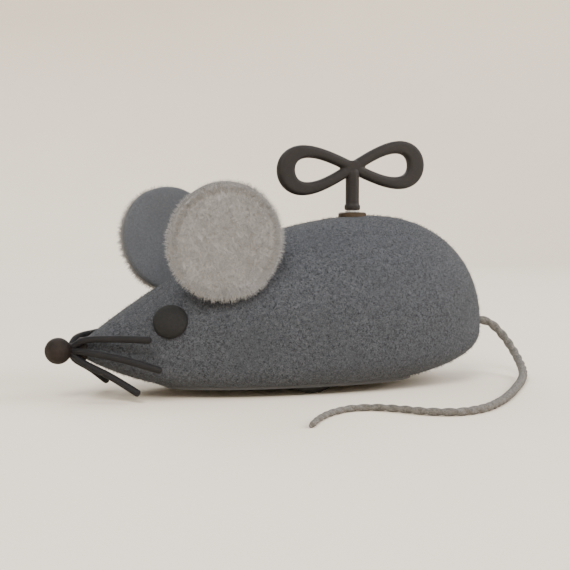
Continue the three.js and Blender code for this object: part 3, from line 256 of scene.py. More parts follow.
def finished(form, name, body, slot, paint, *stands_for, crease=40):
    """A bmesh becomes a piece: an object at the origin, shaded, painted, and riding on its body."""
    mesh = bpy.data.meshes.new(name)
    form.to_mesh(mesh)
    form.free()
    mesh.shade_smooth()
    mesh.set_sharp_from_angle(angle=math.radians(crease))
    mesh.materials.append(paint)
    piece = bpy.data.objects.new(name, mesh)
    bpy.context.scene.collection.objects.link(piece)
    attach(piece, body)
    if stands_for:
        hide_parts(*stands_for)
    print(f"{name}: {len(mesh.polygons)} faces")
    return piece


# Two lobes side by side, with a groove between them, inside a circle of radius 1.
LOBE_STEPS = 28
WAIST, BULGE, BULGE_POWER = 0.74, 0.26, 1.3
two_lobes = []
for step in range(LOBE_STEPS):
    around = 2 * math.pi * step / LOBE_STEPS
    reach = WAIST + BULGE * abs(math.cos(around)) ** BULGE_POWER
    two_lobes.append((reach * math.cos(around), reach * math.sin(around)))

cord_paint = Paint("cotton_cord", Roughness=0.9, Sheen_Weight=0.08, Sheen_Roughness=0.6, Specular_IOR_Level=0.2)
fluff = cord_paint.grain(0.35, detail=4, distortion=1.5)
flecks = cord_paint.grain(0.9, detail=2)
cord_colour = cord_paint.mixed(
    cord_paint.between(fluff, 0.3, 0.7), (0.055, 0.052, 0.048), (0.17, 0.161, 0.15))
cord_colour = cord_paint.mixed(cord_paint.between(flecks, 0.55, 0.75) * 0.5, cord_colour, (0.22, 0.212, 0.2))
cotton_cord = cord_paint.finish(
    Base_Color=cord_colour, Roughness=0.8 + fluff * 0.2, Normal=cord_paint.bumped(fluff, 0.12))

tail = finished(
    swept_mesh("tail_cord", tail_line, tail_radii, two_lobes, [2 * math.pi * w / TAIL_PITCH for w in walked]),
    "tail_cord", "casing", "tail_cord", cotton_cord, "tail", crease=80)
tail_line[0] * MM
[p * MM for p in tail_line]

# %% [markdown]
# ## The form of the body
# The body is a lofted shape: a belt line rises from the snout to the rump, and above and below it each slice is
# a rounded box. The same few rules that shaped the working part are written here, so that the felt lies where
# the shell is, and the ears, eyes and stitches can ask the body how wide it is at any place.

# %% Rules of the form
FLOOR_OF_SHELL = 2.2
KEEL_Z, SNOUT_Z, RUMP_Z, BACK_Z = 0.4, 9.0, 11.6, 33.6
HUMP, WIDEST, KEEL = BODY_LENGTH - 24.5, BODY_LENGTH - 30, BODY_LENGTH - 41  # stations, ahead of the rump
HALF_WIDTH = 19.0
UPPER_POWER, LOWER_POWER = 2.1, 4.0  # how square a slice is above and below its belt line
BROW_POWER, BACK_POWER = 1.85, 2.2  # how full the crest is ahead of the hump and behind it
CHIN_POWER, STERN_POWER = 3.5, 2  # the same for the keel
CHEEK_POWER, HIP_POWER = 2.2, 2.2  # and for the sides
THIN = 0.01  # a slice is never thinner than this


def oval(u, power):
    return max(0.0, 1 - abs(u) ** power) ** (1 / power)


def ramp_to(u, power):
    return 1 - max(0.0, 1 - u) ** power


def belt_z(station):
    return SNOUT_Z + (RUMP_Z - SNOUT_Z) * station / BODY_LENGTH


def crest_z(station):
    if station < HUMP:
        return SNOUT_Z + (BACK_Z - SNOUT_Z) * ramp_to(station / HUMP, BROW_POWER)
    return RUMP_Z + (BACK_Z - RUMP_Z) * oval((station - HUMP) / (BODY_LENGTH - HUMP), BACK_POWER)


def keel_z(station):
    if station < KEEL:
        return KEEL_Z + (SNOUT_Z - KEEL_Z) * (1 - station / KEEL) ** CHIN_POWER
    return RUMP_Z - (RUMP_Z - KEEL_Z) * oval((station - KEEL) / (BODY_LENGTH - KEEL), STERN_POWER)


def half_width(station):
    if station < WIDEST:
        return HALF_WIDTH * ramp_to(station / WIDEST, CHEEK_POWER)
    return HALF_WIDTH * oval((station - WIDEST) / (BODY_LENGTH - WIDEST), HIP_POWER)


def width_at(station, z):
    """Half the body's width at a station and a height."""
    if not 0 < station < BODY_LENGTH:
        return 0.0
    belt = belt_z(station)
    if z >= belt:
        return half_width(station) * oval((z - belt) / max(THIN, crest_z(station) - belt), UPPER_POWER)
    return half_width(station) * oval((belt - z) / max(THIN, belt - keel_z(station)), LOWER_POWER)


print("body is", 2 * HALF_WIDTH, "mm wide and", round(BACK_Z - FLOOR_OF_SHELL, 1), "mm high")

# %% [markdown]
# ## The flocked body
# On the toy the tin shell is covered with heather-grey flock: very short fibres, some dark and some pale, that
# stand in glue. A sphere with many rings is bent into the form, cut flat underneath and at the snout, turned in
# at the bottom as a flange, and given the thickness of the tin and its coat.

# %% Flocked body: the skin
SNOUT_CUT = 2.5
FLANGE = 2.2
SHELL_WALL = 0.8
SKIN_SEGMENTS, SKIN_RINGS = 112, 96


def bent_sphere():
    form = bmesh.new()
    bmesh.ops.create_uvsphere(form, u_segments=SKIN_SEGMENTS, v_segments=SKIN_RINGS, radius=1)
    for vertex in form.verts:
        across, up, along = vertex.co
        station = BODY_LENGTH * (1 + along) / 2
        around = math.atan2(up, across)
        belt = belt_z(station)
        upper = math.sin(around) >= 0
        power = 2 / (UPPER_POWER if upper else LOWER_POWER)
        rise = (crest_z(station) - belt) if upper else (belt - keel_z(station))
        pole = abs(along) > 1 - 1e-6
        y = 0 if pole else half_width(station) * math.copysign(abs(math.cos(around)) ** power, math.cos(around))
        z = 0 if pole else rise * math.copysign(abs(math.sin(around)) ** power, math.sin(around))
        vertex.co = Vector((SNOUT_X + station, y, belt + z)) * MM
    return form


def trimmed(form, place, direction, close=False):
    """Cuts away what lies ahead of a plane, and may close the cut with a face."""
    cut = bmesh.ops.bisect_plane(form, geom=form.verts[:] + form.edges[:] + form.faces[:],
                                 plane_co=Vector(place) * MM, plane_no=direction, clear_outer=True)
    rim = [e for e in cut["geom_cut"] if isinstance(e, bmesh.types.BMEdge)]
    if close:
        bmesh.ops.holes_fill(form, edges=rim, sides=0)
    return rim


body_form = bent_sphere()
trimmed(body_form, (SNOUT_X + SNOUT_CUT, 0, 0), (-1, 0, 0), close=True)
rim = trimmed(body_form, (0, 0, FLOOR_OF_SHELL), (0, 0, -1))
plate_low, plate_high = [Vector(corner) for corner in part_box("base_plate")]
plate_middle = (plate_low.x + plate_high.x) / 2
plate_half = (plate_high - plate_low) / 2
turned_in = bmesh.ops.extrude_edge_only(body_form, edges=rim)["geom"]
for vertex in [v for v in turned_in if isinstance(v, bmesh.types.BMVert)]:
    vertex.co.x = plate_middle + (vertex.co.x - plate_middle) * (1 - FLANGE * MM / plate_half.x)
    vertex.co.y *= 1 - FLANGE * MM / plate_half.y
bmesh.ops.recalc_face_normals(body_form, faces=body_form.faces)
print("the skin has", len(body_form.faces), "faces, and its flange is", FLANGE, "mm wide")

# %% [markdown]
# The flock itself has two layers. Up close the paint carries the speckle: dark and pale fibres mixed in fine
# grains, with a softer, slower change over the whole body. Real fibres also stand up all over the skin, and
# they show at the edges, where the eye catches the outline. They are thin three-sided spikes, a few faces
# each, because there are thousands.

# %% Flock paint
def felt_paint(name, dark, pale, grain_size=0.42, sheen=0.3, bump=0.16, streak=(1, 1, 1)):
    """Short mixed fibres: a speckle of dark and pale grains over a slow change of tone."""
    paint = Paint(name, Roughness=0.95, Sheen_Weight=sheen, Sheen_Roughness=0.55, Specular_IOR_Level=0.2)
    at = paint.places(stretch=streak)
    speckle = paint.grain(grain_size, detail=3, roughness=0.75, distortion=1.2, places=at)
    fibres = paint.grain(grain_size * 0.3, detail=2, roughness=0.8, distortion=2.5, places=at)
    clouds = paint.grain(9, detail=2)
    tone = paint.between(speckle * 0.62 + fibres * 0.38, 0.36, 0.64)
    colour = paint.mixed(tone, dark, pale)
    middle = tuple((d + p) / 2 * 0.78 for d, p in zip(dark, pale))
    colour = paint.mixed(paint.between(clouds, 0.35, 0.75) * 0.35, colour, middle)
    return paint.finish(Base_Color=colour, Roughness=0.86 + fibres * 0.14,
                        Normal=paint.bumped(speckle * 0.6 + fibres * 0.4, bump))


flock = felt_paint("grey_flock", (0.010, 0.0115, 0.0155), (0.090, 0.097, 0.112), sheen=0.03)
# The fibres are painted a little lighter than the flock they stand in: painted light, to offset the dark their
# own shadows put along the outline.
lit_flock_fibre = felt_paint("grey_flock_fibre_lit", (0.015, 0.017, 0.021), (0.112, 0.12, 0.134), sheen=0.02, bump=0.03)
body_spots = body_form.copy()
body = finished(body_form, "flocked_body", "casing", "flocked_shell", flock, "body_shell", crease=50)
wall = body.modifiers.new("shell_wall", "SOLIDIFY")
wall.thickness = SHELL_WALL * MM
wall.offset = -1

# %% Fibres that stand on a surface
random.seed(7)
BATCH = 100


def spots_on(form, count, keep=lambda place: True):
    """Random places on a mesh with the direction straight out of it, spread evenly over its area."""
    form.normal_update()
    faces = [f for f in form.faces if keep(f.calc_center_median() / MM)]
    spots = []
    for face in random.choices(faces, weights=[f.calc_area() for f in faces], k=count):
        third = random.randrange(2, len(face.verts))
        a, b, c = (face.verts[corner].co for corner in (0, third - 1, third))
        along_b, along_c = random.random(), random.random()
        if along_b + along_c > 1:
            along_b, along_c = 1 - along_b, 1 - along_c
        spots.append((a + (b - a) * along_b + (c - a) * along_c, face.normal.copy()))
    return spots


def fibres(spots, length, radius, lean, comb=Vector((0, 0, 0))):
    """One thin spike at each spot. A hundred at a time, because an operator slows down on a large mesh."""
    whole = bmesh.new()
    for start in range(0, len(spots), BATCH):
        batch = bmesh.new()
        for place, outwards in spots[start:start + BATCH]:
            stray = Vector((random.gauss(0, 1), random.gauss(0, 1), random.gauss(0, 1))) * lean
            direction = (outwards + stray * 0.6 + comb).normalized()
            long = length * random.uniform(0.55, 1.1) * MM
            turned = direction.to_track_quat("Z", "Y").to_matrix().to_4x4()
            middle = Matrix.Translation(place + direction * long * 0.4)
            bmesh.ops.create_cone(batch, cap_ends=True, segments=3, radius1=radius * MM,
                                  radius2=radius * 0.25 * MM, depth=long, matrix=middle @ turned)
        mesh = bpy.data.meshes.new("batch")
        batch.to_mesh(mesh)
        batch.free()
        whole.from_mesh(mesh)
        bpy.data.meshes.remove(mesh)
    return whole


FLOCK_LENGTH, FLOCK_RADIUS = 0.5, 0.04
COMBED_BACK = Vector((0.5, 0, -0.1))
body_fibre_count = 15000
flocked_places = spots_on(body_spots, body_fibre_count,
                          keep=lambda p: p.z > FLOOR_OF_SHELL + 0.1 and p.x > SNOUT_X + 3)
body_fuzz = fibres(flocked_places, FLOCK_LENGTH, FLOCK_RADIUS, lean=0.7, comb=COMBED_BACK)
body_spots.free()
finished(body_fuzz, "flock_fibres", "casing", "flocked_shell", lit_flock_fibre)

# %% [markdown]
# ## Ears
# Each ear is two layers: a disc of blue-grey felt, and a pale plush disc sewn to its outer face. Both are spun
# from a short profile, so that they have a crown and a rolled edge. Where the disc would meet the flank of the
# mouse it is eased outwards, as felt does when it is pressed against a body.

# %% A profile spun into a round piece
def spun(profile, steps):
    """Radius and height pairs in millimetres, spun once round the Z axis and closed at the poles."""
    form = bmesh.new()
    corners = [form.verts.new(Vector((radius, 0, height)) * MM) for radius, height in profile]
    edges = [form.edges.new(pair) for pair in zip(corners, corners[1:])]
    bmesh.ops.spin(form, geom=corners + edges, cent=(0, 0, 0), axis=(0, 0, 1), angle=2 * math.pi,
                   steps=steps, use_merge=True)
    bmesh.ops.remove_doubles(form, verts=form.verts, dist=0.001 * MM)
    bmesh.ops.recalc_face_normals(form, faces=form.faces)
    return form


def rolled_disc(radius, low, high, crown=0.0, rings=9, edge=7):
    """The profile of a disc with a round edge, and a face that rises by crown in the middle."""
    thick = (high - low) / 2
    centre = (high + low) / 2
    profile = [((radius - thick) * i / rings, high + crown * (1 - (i / rings) ** 2)) for i in range(rings + 1)]
    for i in range(1, edge):
        around = math.pi / 2 - math.pi * i / edge
        profile.append((radius - thick + thick * math.cos(around), centre + thick * math.sin(around)))
    profile += [((radius - thick) * (1 - i / rings), low) for i in range(rings + 1)]
    return profile


# %% Ears: discs and plush
EAR_RADIUS, EAR_THICKNESS = 10.6, 1.4
LINING_RADIUS, LINING_LOW, LINING_HIGH, LINING_CROWN = 10.35, 0.1, 1.0, 0.35
EAR_STEPS = 72
EAR_YAW, EAR_LEAN = math.radians(6), math.radians(10)
EAR_STATION, EAR_ABOVE_CREST, EAR_OVERHANG = 24.2, 4.9, 3
EAR_GAP = 1.55  # between an ear's middle plane and the flank, where it is eased off it
EASING = 2.0  # the ear starts to give way this far from the flank
RUFFLE, RUFFLE_SIZE = 0.12, 4
ear_z = crest_z(EAR_STATION) + EAR_ABOVE_CREST
ear_spread = width_at(EAR_STATION, ear_z - EAR_RADIUS * math.cos(EAR_LEAN)) + EAR_OVERHANG
TAB_DROP, TAB_REACH, TAB_WIDTH, TAB_THICKNESS, TAB_OVERLAP = 9, 2.6, 5, 0.8, 0.6
PILE_LENGTH, PILE_RADIUS = 0.6, 0.04
FRINGE_LENGTH, FRINGE_RADIUS, FRINGE_BAND, FRINGE_SPREAD = 1.2, 0.035, 1.1, 2.2


def ear_frame(side):
    outwards = Vector((-math.sin(EAR_YAW), side * math.cos(EAR_YAW), -math.tan(EAR_LEAN))).normalized()
    level = Vector((0, 0, 1)).cross(outwards).normalized()
    upwards = outwards.cross(level)
    turn = Matrix((level, upwards, outwards)).transposed().to_4x4()
    return Matrix.Translation(Vector((SNOUT_X + EAR_STATION, side * ear_spread, ear_z)) * MM) @ turn


def eased_off_body(form, place, side):
    """Moves a layer sideways where it would cut into the flank. Its own thickness is kept."""
    for vertex in form.verts:
        layer = vertex.co.z / MM  # depth within the ear, before it is placed
        vertex.co = place @ vertex.co
        x, y, z = vertex.co / MM
        short = width_at(x - SNOUT_X, z) + EAR_GAP + layer - side * y
        if short > EASING:
            vertex.co.y += side * MM * short
        elif short > -EASING:
            vertex.co.y += side * MM * (short + EASING) ** 2 / (4 * EASING)


def ruffled(form):
    """A slow, uneven swell, so that no two places on the felt are quite alike."""
    form.normal_update()
    for vertex in form.verts:
        vertex.co += vertex.normal * RUFFLE * MM * noise.noise(vertex.co / (RUFFLE_SIZE * MM))
    return form


ear_felt = felt_paint("blue_grey_felt", (0.052, 0.056, 0.064), (0.096, 0.103, 0.116), grain_size=0.3,
                      sheen=0.04, bump=0.08)
ear_plush = felt_paint("pale_plush", (0.215, 0.212, 0.216), (0.33, 0.326, 0.33), grain_size=0.3,
                       sheen=0.06, bump=0.12, streak=(1, 1, 4))
# The pile and fringe are painted a little lighter than the plush they grow from: painted light, to offset the
# dark their own shadows put at the rim.
lit_plush_fibre = felt_paint("pale_plush_fibre_lit", (0.24, 0.236, 0.237), (0.37, 0.363, 0.362), sheen=0.03, bump=0.02)

for side, name in ((-1, "left"), (1, "right")):
    place = ear_frame(side)
    back = spun(rolled_disc(EAR_RADIUS, -EAR_THICKNESS, 0), EAR_STEPS)
    tab = bmesh.ops.create_cube(back, size=1, matrix=Matrix.Translation(
        Vector((0, -TAB_DROP, -EAR_THICKNESS - TAB_REACH / 2)) * MM) @ Matrix.Diagonal(
        (TAB_WIDTH * MM, TAB_THICKNESS * MM, (TAB_REACH + TAB_OVERLAP) * MM, 1)))
    bmesh.ops.bevel(back, geom=[e for e in back.edges if e.verts[0] in tab["verts"]], offset=0.15 * MM,
                    affect="EDGES", segments=2, profile=0.5, material=-1)
    tab_corners = [(v, place @ v.co) for v in back.verts if v.co.z / MM < -EAR_THICKNESS - 0.05]
    eased_off_body(back, place, side)
    for vertex, spot in tab_corners:  # the tab stays straight, and goes into the body
        vertex.co = spot
    finished(ruffled(back), "ear_felt_" + name, "casing", "ear_felt", ear_felt, "ear_" + name, crease=60)

    plush = spun(rolled_disc(LINING_RADIUS, LINING_LOW, LINING_HIGH, crown=LINING_CROWN), EAR_STEPS)
    eased_off_body(plush, place, side)
    ruffled(plush)
    centre = place.translation / MM
    outside = place.to_3x3() @ Vector((0, 0, 1))
    pile_count, fringe_count = ((9000, 6000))
    face_spots = spots_on(plush, pile_count, keep=lambda p: (p - centre).dot(outside) > 0.3)
    edge_spots = []
    for spot, out in spots_on(plush, fringe_count,
                              keep=lambda p: (p - centre).length > LINING_RADIUS - FRINGE_BAND):
        spread = (spot - place.translation).normalized()
        edge_spots.append((spot, (out + spread * FRINGE_SPREAD).normalized()))
    finished(plush, "ear_plush_" + name, "casing", "ear_plush", ear_plush, "ear_lining_" + name, crease=80)
    pile = fibres(face_spots, PILE_LENGTH, PILE_RADIUS, lean=0.6)
    fringe = fibres(edge_spots, FRINGE_LENGTH, FRINGE_RADIUS, lean=0.45)
    finished(pile, "ear_pile_" + name, "casing", "ear_plush", lit_plush_fibre)
    finished(fringe, "ear_fringe_" + name, "casing", "ear_plush", lit_plush_fibre)

# %% [markdown]
# ## The face
# The eyes are domed black buttons on a shank, satin rather than shiny. The nose is a rubber ball on a neck
# that flares into a collar, and the whiskers are thick dark bristles that come out beside it.

# %% Eyes
def side_place(station, z, side):
    """A place on the flank and the direction straight out of it."""
    step = 0.2
    y = width_at(station, z)
    along_x = (width_at(station + step, z) - y) / step
    along_z = (width_at(station, z + step) - y) / step
    return Vector((SNOUT_X + station, side * y, z)), Vector((-along_x, side, -along_z)).normalized()


EYE_RADIUS, EYE_DEPTH = 3.2, 1.7
EYE_STATION, EYE_RISE = 15.8, 4.8
EYE_RINGS = 12
eye_z = belt_z(EYE_STATION) + EYE_RISE
eye_paint = Paint("black_button", Specular_IOR_Level=0.12)
eye_dust = eye_paint.grain(0.5, detail=4)
eye_wear = eye_paint.grain(2.5, detail=2)
black_button = eye_paint.finish(
    Base_Color=eye_paint.mixed(eye_dust, (0.010, 0.010, 0.010), (0.021, 0.021, 0.0215)),
    Roughness=0.62 + eye_wear * 0.2, Normal=eye_paint.bumped(eye_dust, 0.02))
for side, name in ((-1, "left"), (1, "right")):
    spot, outwards = side_place(EYE_STATION, eye_z, side)
    profile = [(0, EYE_DEPTH)]
    for step in range(1, EYE_RINGS + 1):
        around = math.pi / 2 * (1 - step / EYE_RINGS)
        profile.append((EYE_RADIUS * math.cos(around), EYE_DEPTH * math.sin(around)))
    profile += [(EYE_RADIUS - 0.05, -0.25), (EYE_RADIUS - 0.25, -0.5), (0.8, -0.55), (0.8, -1.7), (0, -1.7)]
    button = spun(profile, 48)
    turned = outwards.to_track_quat("Z", "Y").to_matrix().to_4x4()
    bmesh.ops.transform(button, matrix=Matrix.Translation(spot * MM) @ turned, verts=button.verts)
    finished(button, "eye_button_" + name, "casing", "eye_black", black_button, "eye_" + name)

# %% Nose
rubber_paint = Paint("nose_rubber", Roughness=0.55, Specular_IOR_Level=0.18)
pores = rubber_paint.grain(0.35, detail=3)
rubbed = rubber_paint.grain(1.8, detail=2)
nose_rubber = rubber_paint.finish(
    Base_Color=rubber_paint.mixed(
        rubber_paint.between(rubbed, 0.4, 0.7), (0.012, 0.0085, 0.0072), (0.02, 0.0145, 0.0125)),
    Roughness=0.6 + rubbed * 0.2, Normal=rubber_paint.bumped(pores, 0.03))
NOSE_RINGS, NOSE_SWEEP = 15, math.radians(146)  # the ball ends where the neck starts
profile = [(0, -2 * NOSE_RADIUS)]
for step in range(1, NOSE_RINGS + 1):
    around = NOSE_SWEEP * step / NOSE_RINGS
    profile.append((NOSE_RADIUS * math.sin(around), -NOSE_RADIUS - NOSE_RADIUS * math.cos(around)))
profile += [(1.26, -0.15), (1.3, 0.15), (1.45, 0.6), (1.75, 1.1), (2.15, 1.5), (2.3, 1.75), (2.32, 2.1),
            (2.22, 2.36), (2.0, 2.4), (0.7, 2.4), (0.7, 5.4), (0, 5.4)]
nose = spun(profile, 48)
lie_along_x = Matrix.Translation(Vector((SNOUT_X, 0, SNOUT_Z)) * MM) @ Matrix.Rotation(math.pi / 2, 4, "Y")
bmesh.ops.transform(nose, matrix=lie_along_x, verts=nose.verts)
finished(nose, "nose_ball", "casing", "nose_black", nose_rubber, "nose", crease=50)

# %% Whiskers
bristle_paint = Paint("dark_bristle", Roughness=0.6, Specular_IOR_Level=0.14)
streaks = bristle_paint.grain(0.3, detail=3, places=bristle_paint.places(stretch=(8, 8, 1)))
dark_bristle = bristle_paint.finish(
    Base_Color=bristle_paint.mixed(streaks, (0.005, 0.005, 0.0056), (0.018, 0.0175, 0.0195)),
    Roughness=0.5 + streaks * 0.25, Normal=bristle_paint.bumped(streaks, 0.04))
WHISKERS = ((13.5, 2, 40), (15.5, -11, 0), (12.5, -26, -40))  # length, rise and place round the neck
WHISKER_RADIUS = 0.6
COLLAR_RADIUS, BORE_RADIUS = 2.3, 0.7
BLUNT_TIP = (0.45, 0.82, 0.96)  # shares of the radius, from the very tip inwards
SPLAY = math.radians(42)
root_reach = COLLAR_RADIUS + WHISKER_RADIUS
for side, name in ((-1, "left"), (1, "right")):
    for number, (length, pitch, root_angle) in enumerate(WHISKERS, 1):
        pitch, root_angle = math.radians(pitch), math.radians(root_angle)
        root = Vector((SNOUT_X + SNOUT_CUT / 2, side * root_reach * math.cos(root_angle),
                       SNOUT_Z + root_reach * math.sin(root_angle)))
        along = Vector((math.cos(SPLAY) * math.cos(pitch), side * math.sin(SPLAY) * math.cos(pitch),
                        math.sin(pitch)))
        inside_neck = Vector((SNOUT_X - 0.1, side * BORE_RADIUS * math.cos(root_angle),
                              SNOUT_Z + BORE_RADIUS * math.sin(root_angle)))
        middle = root + along * length * 0.5 + Vector((0, 0, length * 0.02))
        line = smooth_route([inside_neck, root + along * 0.4, middle, root + along * length], 14)
        last = len(line) - 1
        radii = [WHISKER_RADIUS * (1.02 + 0.1 * i / last) for i in range(last + 1)]
        for back_from_tip, share in enumerate(BLUNT_TIP):
            radii[last - back_from_tip] *= share
        line[last - 1] = line[last].lerp(line[last - 1], 0.25)
        line[last - 2] = line[last].lerp(line[last - 2], 0.35)
        node = f"whisker_{name}_{number}"
        finished(swept_mesh(node, line, radii, sides=5), f"bristle_{name}_{number}", "casing",
                 "whisker_black", dark_bristle, node, crease=60)

# %% [markdown]
# ## The key
# The bow is one length of thick wire bent into a figure of eight and hammered flat, most at the far ends of
# the loops. A swept round section gives the wire, pressing its sides to 2 mm gives the hammered faces, and a
# fine remesh fuses the crossing into one solid with soft edges. The stem is turned, and stands over a
# bronzed bush.

# %% Key: enamel and bow
enamel_paint = Paint("dark_enamel", Roughness=0.5, Specular_IOR_Level=0.2)
chips = enamel_paint.grain(0.8, detail=5, roughness=0.7)
orange_peel = enamel_paint.grain(0.45, detail=2)
edge_wear = enamel_paint.between(enamel_paint.node("ShaderNodeNewGeometry", output="Pointiness"), 0.52, 0.6)
worn = edge_wear * enamel_paint.between(chips, 0.52, 0.62) * 0.5
dark_enamel = enamel_paint.finish(
    Base_Color=enamel_paint.mixed(
        worn, enamel_paint.mixed(chips, (0.010, 0.0083, 0.008), (0.02, 0.017, 0.0162)), (0.10, 0.088, 0.078)),
    Roughness=0.5 + orange_peel * 0.16 + worn * 0.1, Metallic=worn * 0.6,
    Normal=enamel_paint.bumped(orange_peel, 0.02))

key_low, key_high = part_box("key_stem")
KEY_X = (key_low[0] + key_high[0]) / 2 / MM
BOW_RISE = 9.6
BOW_Z = BACK_Z + BOW_RISE
BOW_THICKNESS, BOW_HUB_RADIUS = 2, 1.55
BOW_VOXEL, BOW_SMOOTHING = 0.17, 4
LOOP_LENGTH, LOOP_HEIGHT = 15, 3.65
STRAP, SWELL = 2.2, 0.65
BOW_TILT = math.radians(4)  # the rear loop is raised
bow_line, bow_radii = [], []
BOW_STEPS = 180
for step in range(BOW_STEPS):
    t = 2 * math.pi * (step + 0.5) / BOW_STEPS
    bow_line.append((KEY_X + LOOP_LENGTH * math.sin(t), 0, BOW_Z + LOOP_HEIGHT * math.sin(2 * t)))
    bow_radii.append(STRAP / 2 * (1 + SWELL * math.sin(t) ** 4) * 1.04)
bow = swept_mesh("bow", bow_line, bow_radii, closed=True)
pressed = BOW_THICKNESS / 2 * MM
for vertex in bow.verts:
    vertex.co.y = max(-pressed, min(pressed, vertex.co.y))
bmesh.ops.rotate(bow, verts=bow.verts, cent=Vector((KEY_X, 0, BOW_Z)) * MM,
                 matrix=Matrix.Rotation(-BOW_TILT, 3, "Y"))
hub_place = Matrix.Translation(Vector((KEY_X, 0, BOW_Z - 0.1)) * MM) @ Matrix.Rotation(math.pi / 2, 4, "X")
bmesh.ops.create_cone(bow, cap_ends=True, segments=32, radius1=BOW_HUB_RADIUS * MM,
                      radius2=BOW_HUB_RADIUS * MM, depth=BOW_THICKNESS * MM, matrix=hub_place)


def fused(form, name, voxel, rounds):
    """Overlapping closed shapes become one skin, and its edges are softened."""
    mesh = bpy.data.meshes.new(name)
    form.to_mesh(mesh)
    form.free()
    holder = bpy.data.objects.new(name, mesh)
    bpy.context.scene.collection.objects.link(holder)
    remesh = holder.modifiers.new("fuse", "REMESH")
    remesh.mode = "VOXEL"
    remesh.voxel_size = voxel * MM
    bpy.context.view_layer.update()
    skin = bpy.data.meshes.new_from_object(holder.evaluated_get(bpy.context.evaluated_depsgraph_get()))
    bpy.data.objects.remove(holder)
    form = bmesh.new()
    form.from_mesh(skin)
    for _ in range(rounds):
        bmesh.ops.smooth_vert(form, verts=form.verts, factor=0.5, use_axis_x=True, use_axis_y=True,
                              use_axis_z=True)
    return form


finished(fused(bow, "bow_solid", BOW_VOXEL, BOW_SMOOTHING), "key_loops", "winding_arbor", "key_enamel",
         dark_enamel, "key_bow", crease=80)

# %% Key: stem and bush
# The heights in both profiles are above the back.
stem_profile = [(0, 9.2), (1.2, 9.2), (1.34, 8.9), (1.4, 8.4), (1.38, 7.6), (1.38, 2.5), (1.42, 2.2),
                (1.55, 2.05), (1.6, 1.85), (1.6, 1.35), (1.5, 1.1), (1.35, 1.02), (0, 1.02)]
stem = spun(stem_profile, 40)
bmesh.ops.translate(stem, vec=Vector((KEY_X, 0, BACK_Z)) * MM, verts=stem.verts)
finished(stem, "key_post", "winding_arbor", "key_enamel", dark_enamel, "key_stem", crease=35)


def metal_paint(name, dark, pale, roughness, brush=(1, 1, 1), tarnish=0.4):
    """Bare metal: fine brush lines, a slow tarnish, and a roughness that follows both."""
    paint = Paint(name, Metallic=1.0)
    lines = paint.grain(0.12, detail=3, places=paint.places(stretch=brush))
    stain = paint.grain(3.6, detail=4, roughness=0.65)
    colour = paint.mixed(paint.between(stain, 0.45, 0.75) * tarnish, pale, dark)
    colour = paint.mixed(paint.between(lines, 0.4, 0.6) * 0.25, colour, dark)
    return paint.finish(Base_Color=colour, Roughness=roughness + lines * 0.12 + stain * 0.14,
                        Normal=paint.bumped(lines, 0.01))


brass = metal_paint("old_brass", (0.33, 0.21, 0.07), (0.72, 0.50, 0.19), 0.22)
dark_brass = metal_paint("bronzed_brass", (0.03, 0.023, 0.018), (0.075, 0.057, 0.042), 0.42)
tinplate = metal_paint("tinplate", (0.30, 0.30, 0.31), (0.66, 0.66, 0.66), 0.2, brush=(12, 1, 1))
steel = metal_paint("mild_steel", (0.22, 0.22, 0.23), (0.52, 0.53, 0.55), 0.24, brush=(1, 12, 1))
blue_steel = metal_paint("blued_steel", (0.03, 0.045, 0.09), (0.10, 0.13, 0.22), 0.26, tarnish=0.6)

bush_profile = [(1.68, -0.4), (1.68, 0.45), (1.78, 0.6), (2.45, 0.6), (2.7, 0.5), (2.85, 0.3), (2.85, -0.1),
                (2.85, -0.5), (2.2, -0.7), (2.2, -2.2), (1.68, -2.2), (1.68, -0.4)]
bush = spun(bush_profile, 48)
bmesh.ops.translate(bush, vec=Vector((KEY_X, 0, BACK_Z)) * MM, verts=bush.verts)
finished(bush, "brass_bush", "casing", "brass", dark_brass, "key_bush", crease=35)

# %% Tail grommet
grommet_profile = [(0, 0.8), (1.35, 0.8), (1.65, 0.75), (1.95, 0.6), (2.2, 0.4), (2.3, 0.1), (2.3, -0.8),
                   (1.6, -1.0), (1.6, -2.6), (0, -2.6)]
grommet = spun(grommet_profile, 40)
bmesh.ops.transform(grommet, verts=grommet.verts, matrix=Matrix.Translation(
    Vector((RUMP_X, 0, RUMP_Z)) * MM) @ Matrix.Rotation(math.pi / 2, 4, "Y"))
finished(grommet, "tail_eyelet", "casing", "black_rubber", nose_rubber, "tail_grommet", crease=50)

# %% [markdown]
# ## Wheels
# The drive wheels are pressed tin with black rubber tyres, and a small roller follows behind. They are turned
# parts, so each is spun from its profile: a tyre with three grooves, a wheel with a dished disc and a raised
# hub, and a roller with one groove.

# %% Tyres, wheels and roller
tyre_paint = Paint("tyre_rubber", Roughness=0.75, Specular_IOR_Level=0.3)
scuffs = tyre_paint.grain(0.7, detail=5, roughness=0.7)
dust = tyre_paint.grain(3, detail=3)
tyre_rubber = tyre_paint.finish(
    Base_Color=tyre_paint.mixed(tyre_paint.between(dust, 0.5, 0.75) * 0.4,
                                tyre_paint.mixed(scuffs, (0.012, 0.012, 0.012), (0.028, 0.027, 0.026)),
                                (0.09, 0.086, 0.08)),
    Roughness=0.68 + scuffs * 0.2, Normal=tyre_paint.bumped(scuffs, 0.03))


def on_axle(form, x, y, z):
    """A piece spun about Z is laid on its side, along Y."""
    bmesh.ops.transform(form, verts=form.verts, matrix=Matrix.Translation(Vector((x, y, z)) * MM)
                        @ Matrix.Rotation(math.pi / 2, 4, "X"))
    return form


